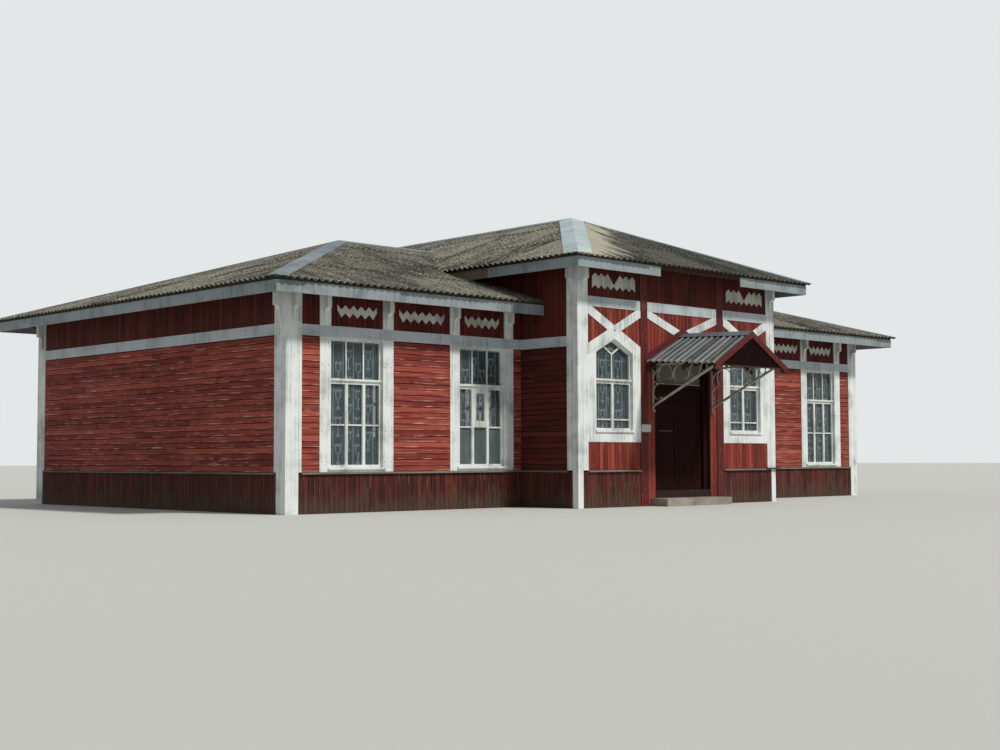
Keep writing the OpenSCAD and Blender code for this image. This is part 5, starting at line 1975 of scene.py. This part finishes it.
@dataclass
class FrontDetails(Assembly):
    """Small things of the front: sign plate, strip on the door, transom panels and the corner's flashing."""

    transom_half: float = 0.745
    transom_joint: float = -0.14
    transom_z: tuple[float, float] = (2.436, 2.87)
    plate_x: tuple[float, float] = (-1.306, -1.02)
    plate_z: tuple[float, float] = (1.465, 1.615)
    plate_t: float = 0.005
    screw_in: float = 0.016
    moulding_z: tuple[float, float] = (2.02, 2.05)
    moulding_t: float = 0.007
    moulding_in: float = 0.05

    def slab(self, name: str, low: Sequence[float], high: Sequence[float], bevel: float = 0.0015) -> Object:
        """A bevelled flat block with a name."""
        return joined([block(low, high, bevel)], name)

    def build(self) -> None:
        """Builds them all."""
        f = self.finishes
        self.transom()
        self.plate()
        leaf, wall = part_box("door_leaf_left")[0].y, -self.plan.front
        strip_on_door = self.slab("bare_strip_on_door", (-0.6, leaf - 0.004, 1.488), (-0.18, leaf, 1.51))
        dress(strip_on_door, f.strip, "red_boards", "left_leaf")
        for body, node in (("left_leaf", "door_leaf_left"), ("right_leaf", "door_leaf_right")):
            low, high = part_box(node)
            foot, head = self.moulding_z
            moulding = self.slab(f"{body}_moulding", (low.x + self.moulding_in, leaf - self.moulding_t, foot),
                                 (high.x - self.moulding_in, leaf, head), 0.003)
            dress(moulding, f.door_red_in_painted_shade, "red_boards", body)
        corner = self.slab("corner_flashing", (2.78, wall - 0.085, 0.7), (3.21, wall - 0.02, 0.735), 0.006)
        dress(corner, f.nails, "grey_metal")

    def plate(self) -> None:
        """The sign plate left of the door, bare, with a screw in each corner."""
        back = -self.plan.front - self.plan.trim_t
        (left, right), (foot, head) = self.plate_x, self.plate_z
        plate = self.slab("bare_sign_plate", (left, back - self.plate_t, foot), (right, back, head))
        screw = Pattern(block((-0.006, -0.003, -0.006), (0.006, 0, 0.006), 0.002))
        screws = Copies()
        for x in (left + self.screw_in, right - self.screw_in):
            for z in (foot + self.screw_in, head - self.screw_in):
                screws.add(screw, (x, back - self.plate_t, z), Matrix.Identity(3))
        dress(plate, self.finishes.plate, "pale_metal")
        dress(screws.piece("sign_plate_screws"), self.finishes.nails, "iron")

    def transom(self) -> None:
        """Two flat panels with a bead under them close the opening over the door, front and rear."""
        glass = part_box("transom_glass")[0].y
        low, high = (self.transom_z[0] + 0.002, self.transom_z[1] - 0.002)
        panels = [block((a, glass - 0.034, low), (b, glass - 0.026, high), 0.003)
                  for a, b in ((0.002 - self.transom_half, self.transom_joint - 0.006),
                               (self.transom_joint + 0.006, self.transom_half - 0.002))]
        bead = block((-self.transom_half, glass - 0.048, low), (self.transom_half, glass - 0.03, low + 0.026),
                     0.004)
        for name, parts, material, slot in (
                ("transom_panels", panels, self.finishes.plaster, "door_glass"),
                ("transom_beads", [bead], self.finishes.white_mixed, "white_boards")):
            piece = dress(joined(with_copies(parts, HALF_TURN), name), material, slot)
            if parts is panels:
                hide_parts("transom_glass")


class Dressing:
    """Gives the CAD nodes that stay visible their finishes."""

    def __init__(self, finishes: Finishes) -> None:
        """Sets which node gets which finish.

        Args:
            finishes: All materials.
        """
        f = finishes
        groups = (
            (f.joint_shade_backing, "left_wing_front_wall left_wing_end_wall left_wing_rear_wall right_wing_front_wall "
                        "right_wing_end_wall right_wing_rear_wall left_side_wall right_side_wall "
                        "front_wall_left front_wall_right front_wall_over_door rear_wall plinth"),
            (f.deck_timber_in_painted_shade, "center_roof_deck wing_roof_deck canopy_frame"),
            (f.roof, "center_roof_sheets wing_roof_sheets"),
            (f.caps, "ridge_caps canopy_ridge_caps"),
            (f.white_upright, "corner_boards eave_consoles"),
            (f.white_mixed, "wing_window_casings center_window_casings crossed_braces"),
            (f.white_sash, "wing_window_sashes center_window_sashes"),
            (f.glass, "wing_window_glass center_window_glass"),
            (f.trim_red, "red_pilasters canopy_rake_boards"),
            (f.door_red_in_painted_shade, "door_frame door_leaf_left door_leaf_right rear_door"),
            (f.floor, "floor"), (f.flashing, "hip_flashings"), (f.white_fascia_with_dirt_and_painted_shade, "fascias"),
            (f.ledge, "ledge_boards"), (f.white_level, "frieze_bands"), (f.white_fret, "fretwork"),
            (f.plaster, "transom_glass"), (f.concrete, "door_steps"), (f.canopy, "canopy_sheets"),
            (f.gable_red_in_painted_shade, "canopy_gable_boards"), (f.iron, "canopy_brackets"))
        self.table = {name: finish for finish, nodes in groups for name in nodes.split()}

    def build(self) -> None:
        """Assigns the finishes."""
        for name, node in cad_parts.items():
            node.data.materials.clear()
            node.data.materials.append(self.table[name])
        LOG.info("%d nodes dressed", len(self.table))


@dataclass
class Studio:
    """A pale floor, a pale surround and soft light, with the camera where the photograph was taken."""

    camera_at: tuple[float, float, float] = (-23.0954, -25.1049, 0.95)
    heading: float = 0.8122
    pitch: float = 0.0574
    roll: float = -0.0028
    lens: float = 52.28
    sun_strength: float = 2.95
    sun_way: tuple[float, float, float] = (-0.3, 1.0, -1.2)

    def camera(self) -> None:
        """Adds the camera."""
        level = math.cos(self.pitch)
        ahead = Vector((math.cos(self.heading) * level, math.sin(self.heading) * level, math.sin(self.pitch)))
        right = Vector((math.sin(self.heading), -math.cos(self.heading), 0))
        over = right.cross(ahead)
        x_axis = right * math.cos(self.roll) + over * math.sin(self.roll)
        y_axis = over * math.cos(self.roll) - right * math.sin(self.roll)
        data = bpy.data.cameras.new("camera")
        data.lens, data.sensor_width, data.clip_end = self.lens, 36.0, 500.0
        camera = bpy.data.objects.new("camera", data)
        turn = Matrix((x_axis, y_axis, -ahead)).transposed().to_4x4()
        camera.matrix_world = Matrix.Translation(self.camera_at) @ turn
        bpy.context.scene.collection.objects.link(camera)
        bpy.context.scene.camera = camera

    def floor(self) -> None:
        """Adds the floor."""
        deselect_all()
        bpy.ops.mesh.primitive_plane_add(size=400, location=(0, 0, -0.002))
        plane = bpy.context.object
        plane.name = plane.data.name = "studio_floor"
        plane.data.materials.append(Shader("pale_studio_floor").done("#c0c1bd", 0.9))

    def light(self) -> None:
        """Adds the sky and one wide soft lamp."""
        world = bpy.data.worlds.new("surround")
        bpy.context.scene.world = world
        world.use_nodes = True
        nodes = Nodes(world.node_tree)
        # the camera, mirrors and glass see a paler sky than the one that lights the building
        seen = nodes.add("LightPath", out="Is Camera Ray")
        for kind in ("Is Glossy Ray", "Is Transmission Ray"):
            seen = nodes.add("Math", {0: seen, 1: nodes.add("LightPath", out=kind)}, operation="MAXIMUM")
        sky = nodes.add("Background", {"Color": "#eef2f6", "Strength": 0.36})
        pale = nodes.add("Background", {"Color": "#e4e7e8", "Strength": 1.0})
        blend = nodes.add("MixShader", {0: seen, 1: sky, 2: pale})
        nodes.feed(world.node_tree.nodes["World Output"].inputs["Surface"], blend)
        lamp = bpy.data.lights.new("soft_lamp", "SUN")
        lamp.energy, lamp.angle, lamp.color = self.sun_strength, math.radians(6), (1.0, 0.97, 0.92)
        holder = bpy.data.objects.new("soft_lamp", lamp)
        holder.rotation_euler = Vector(self.sun_way).to_track_quat("-Z", "Y").to_euler()
        bpy.context.scene.collection.objects.link(holder)


def main() -> None:
    """Builds the scene in order."""
    logging.basicConfig(level=logging.INFO, format="%(message)s")
    studio = Studio()
    studio.camera()
    finishes = Finishes()
    plan = Plan()
    studio.floor()
    studio.light()
    Dressing(finishes).build()
    for part in (Cladding, WavySheets, Eaves, Frets, Braces, Canopy, Brackets, Grilles, Fixings,
                 FrontDetails):
        part(plan, finishes).build()
    bpy.context.scene.view_settings.view_transform = "Standard"
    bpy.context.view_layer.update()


if __name__ == "__main__":
    main()
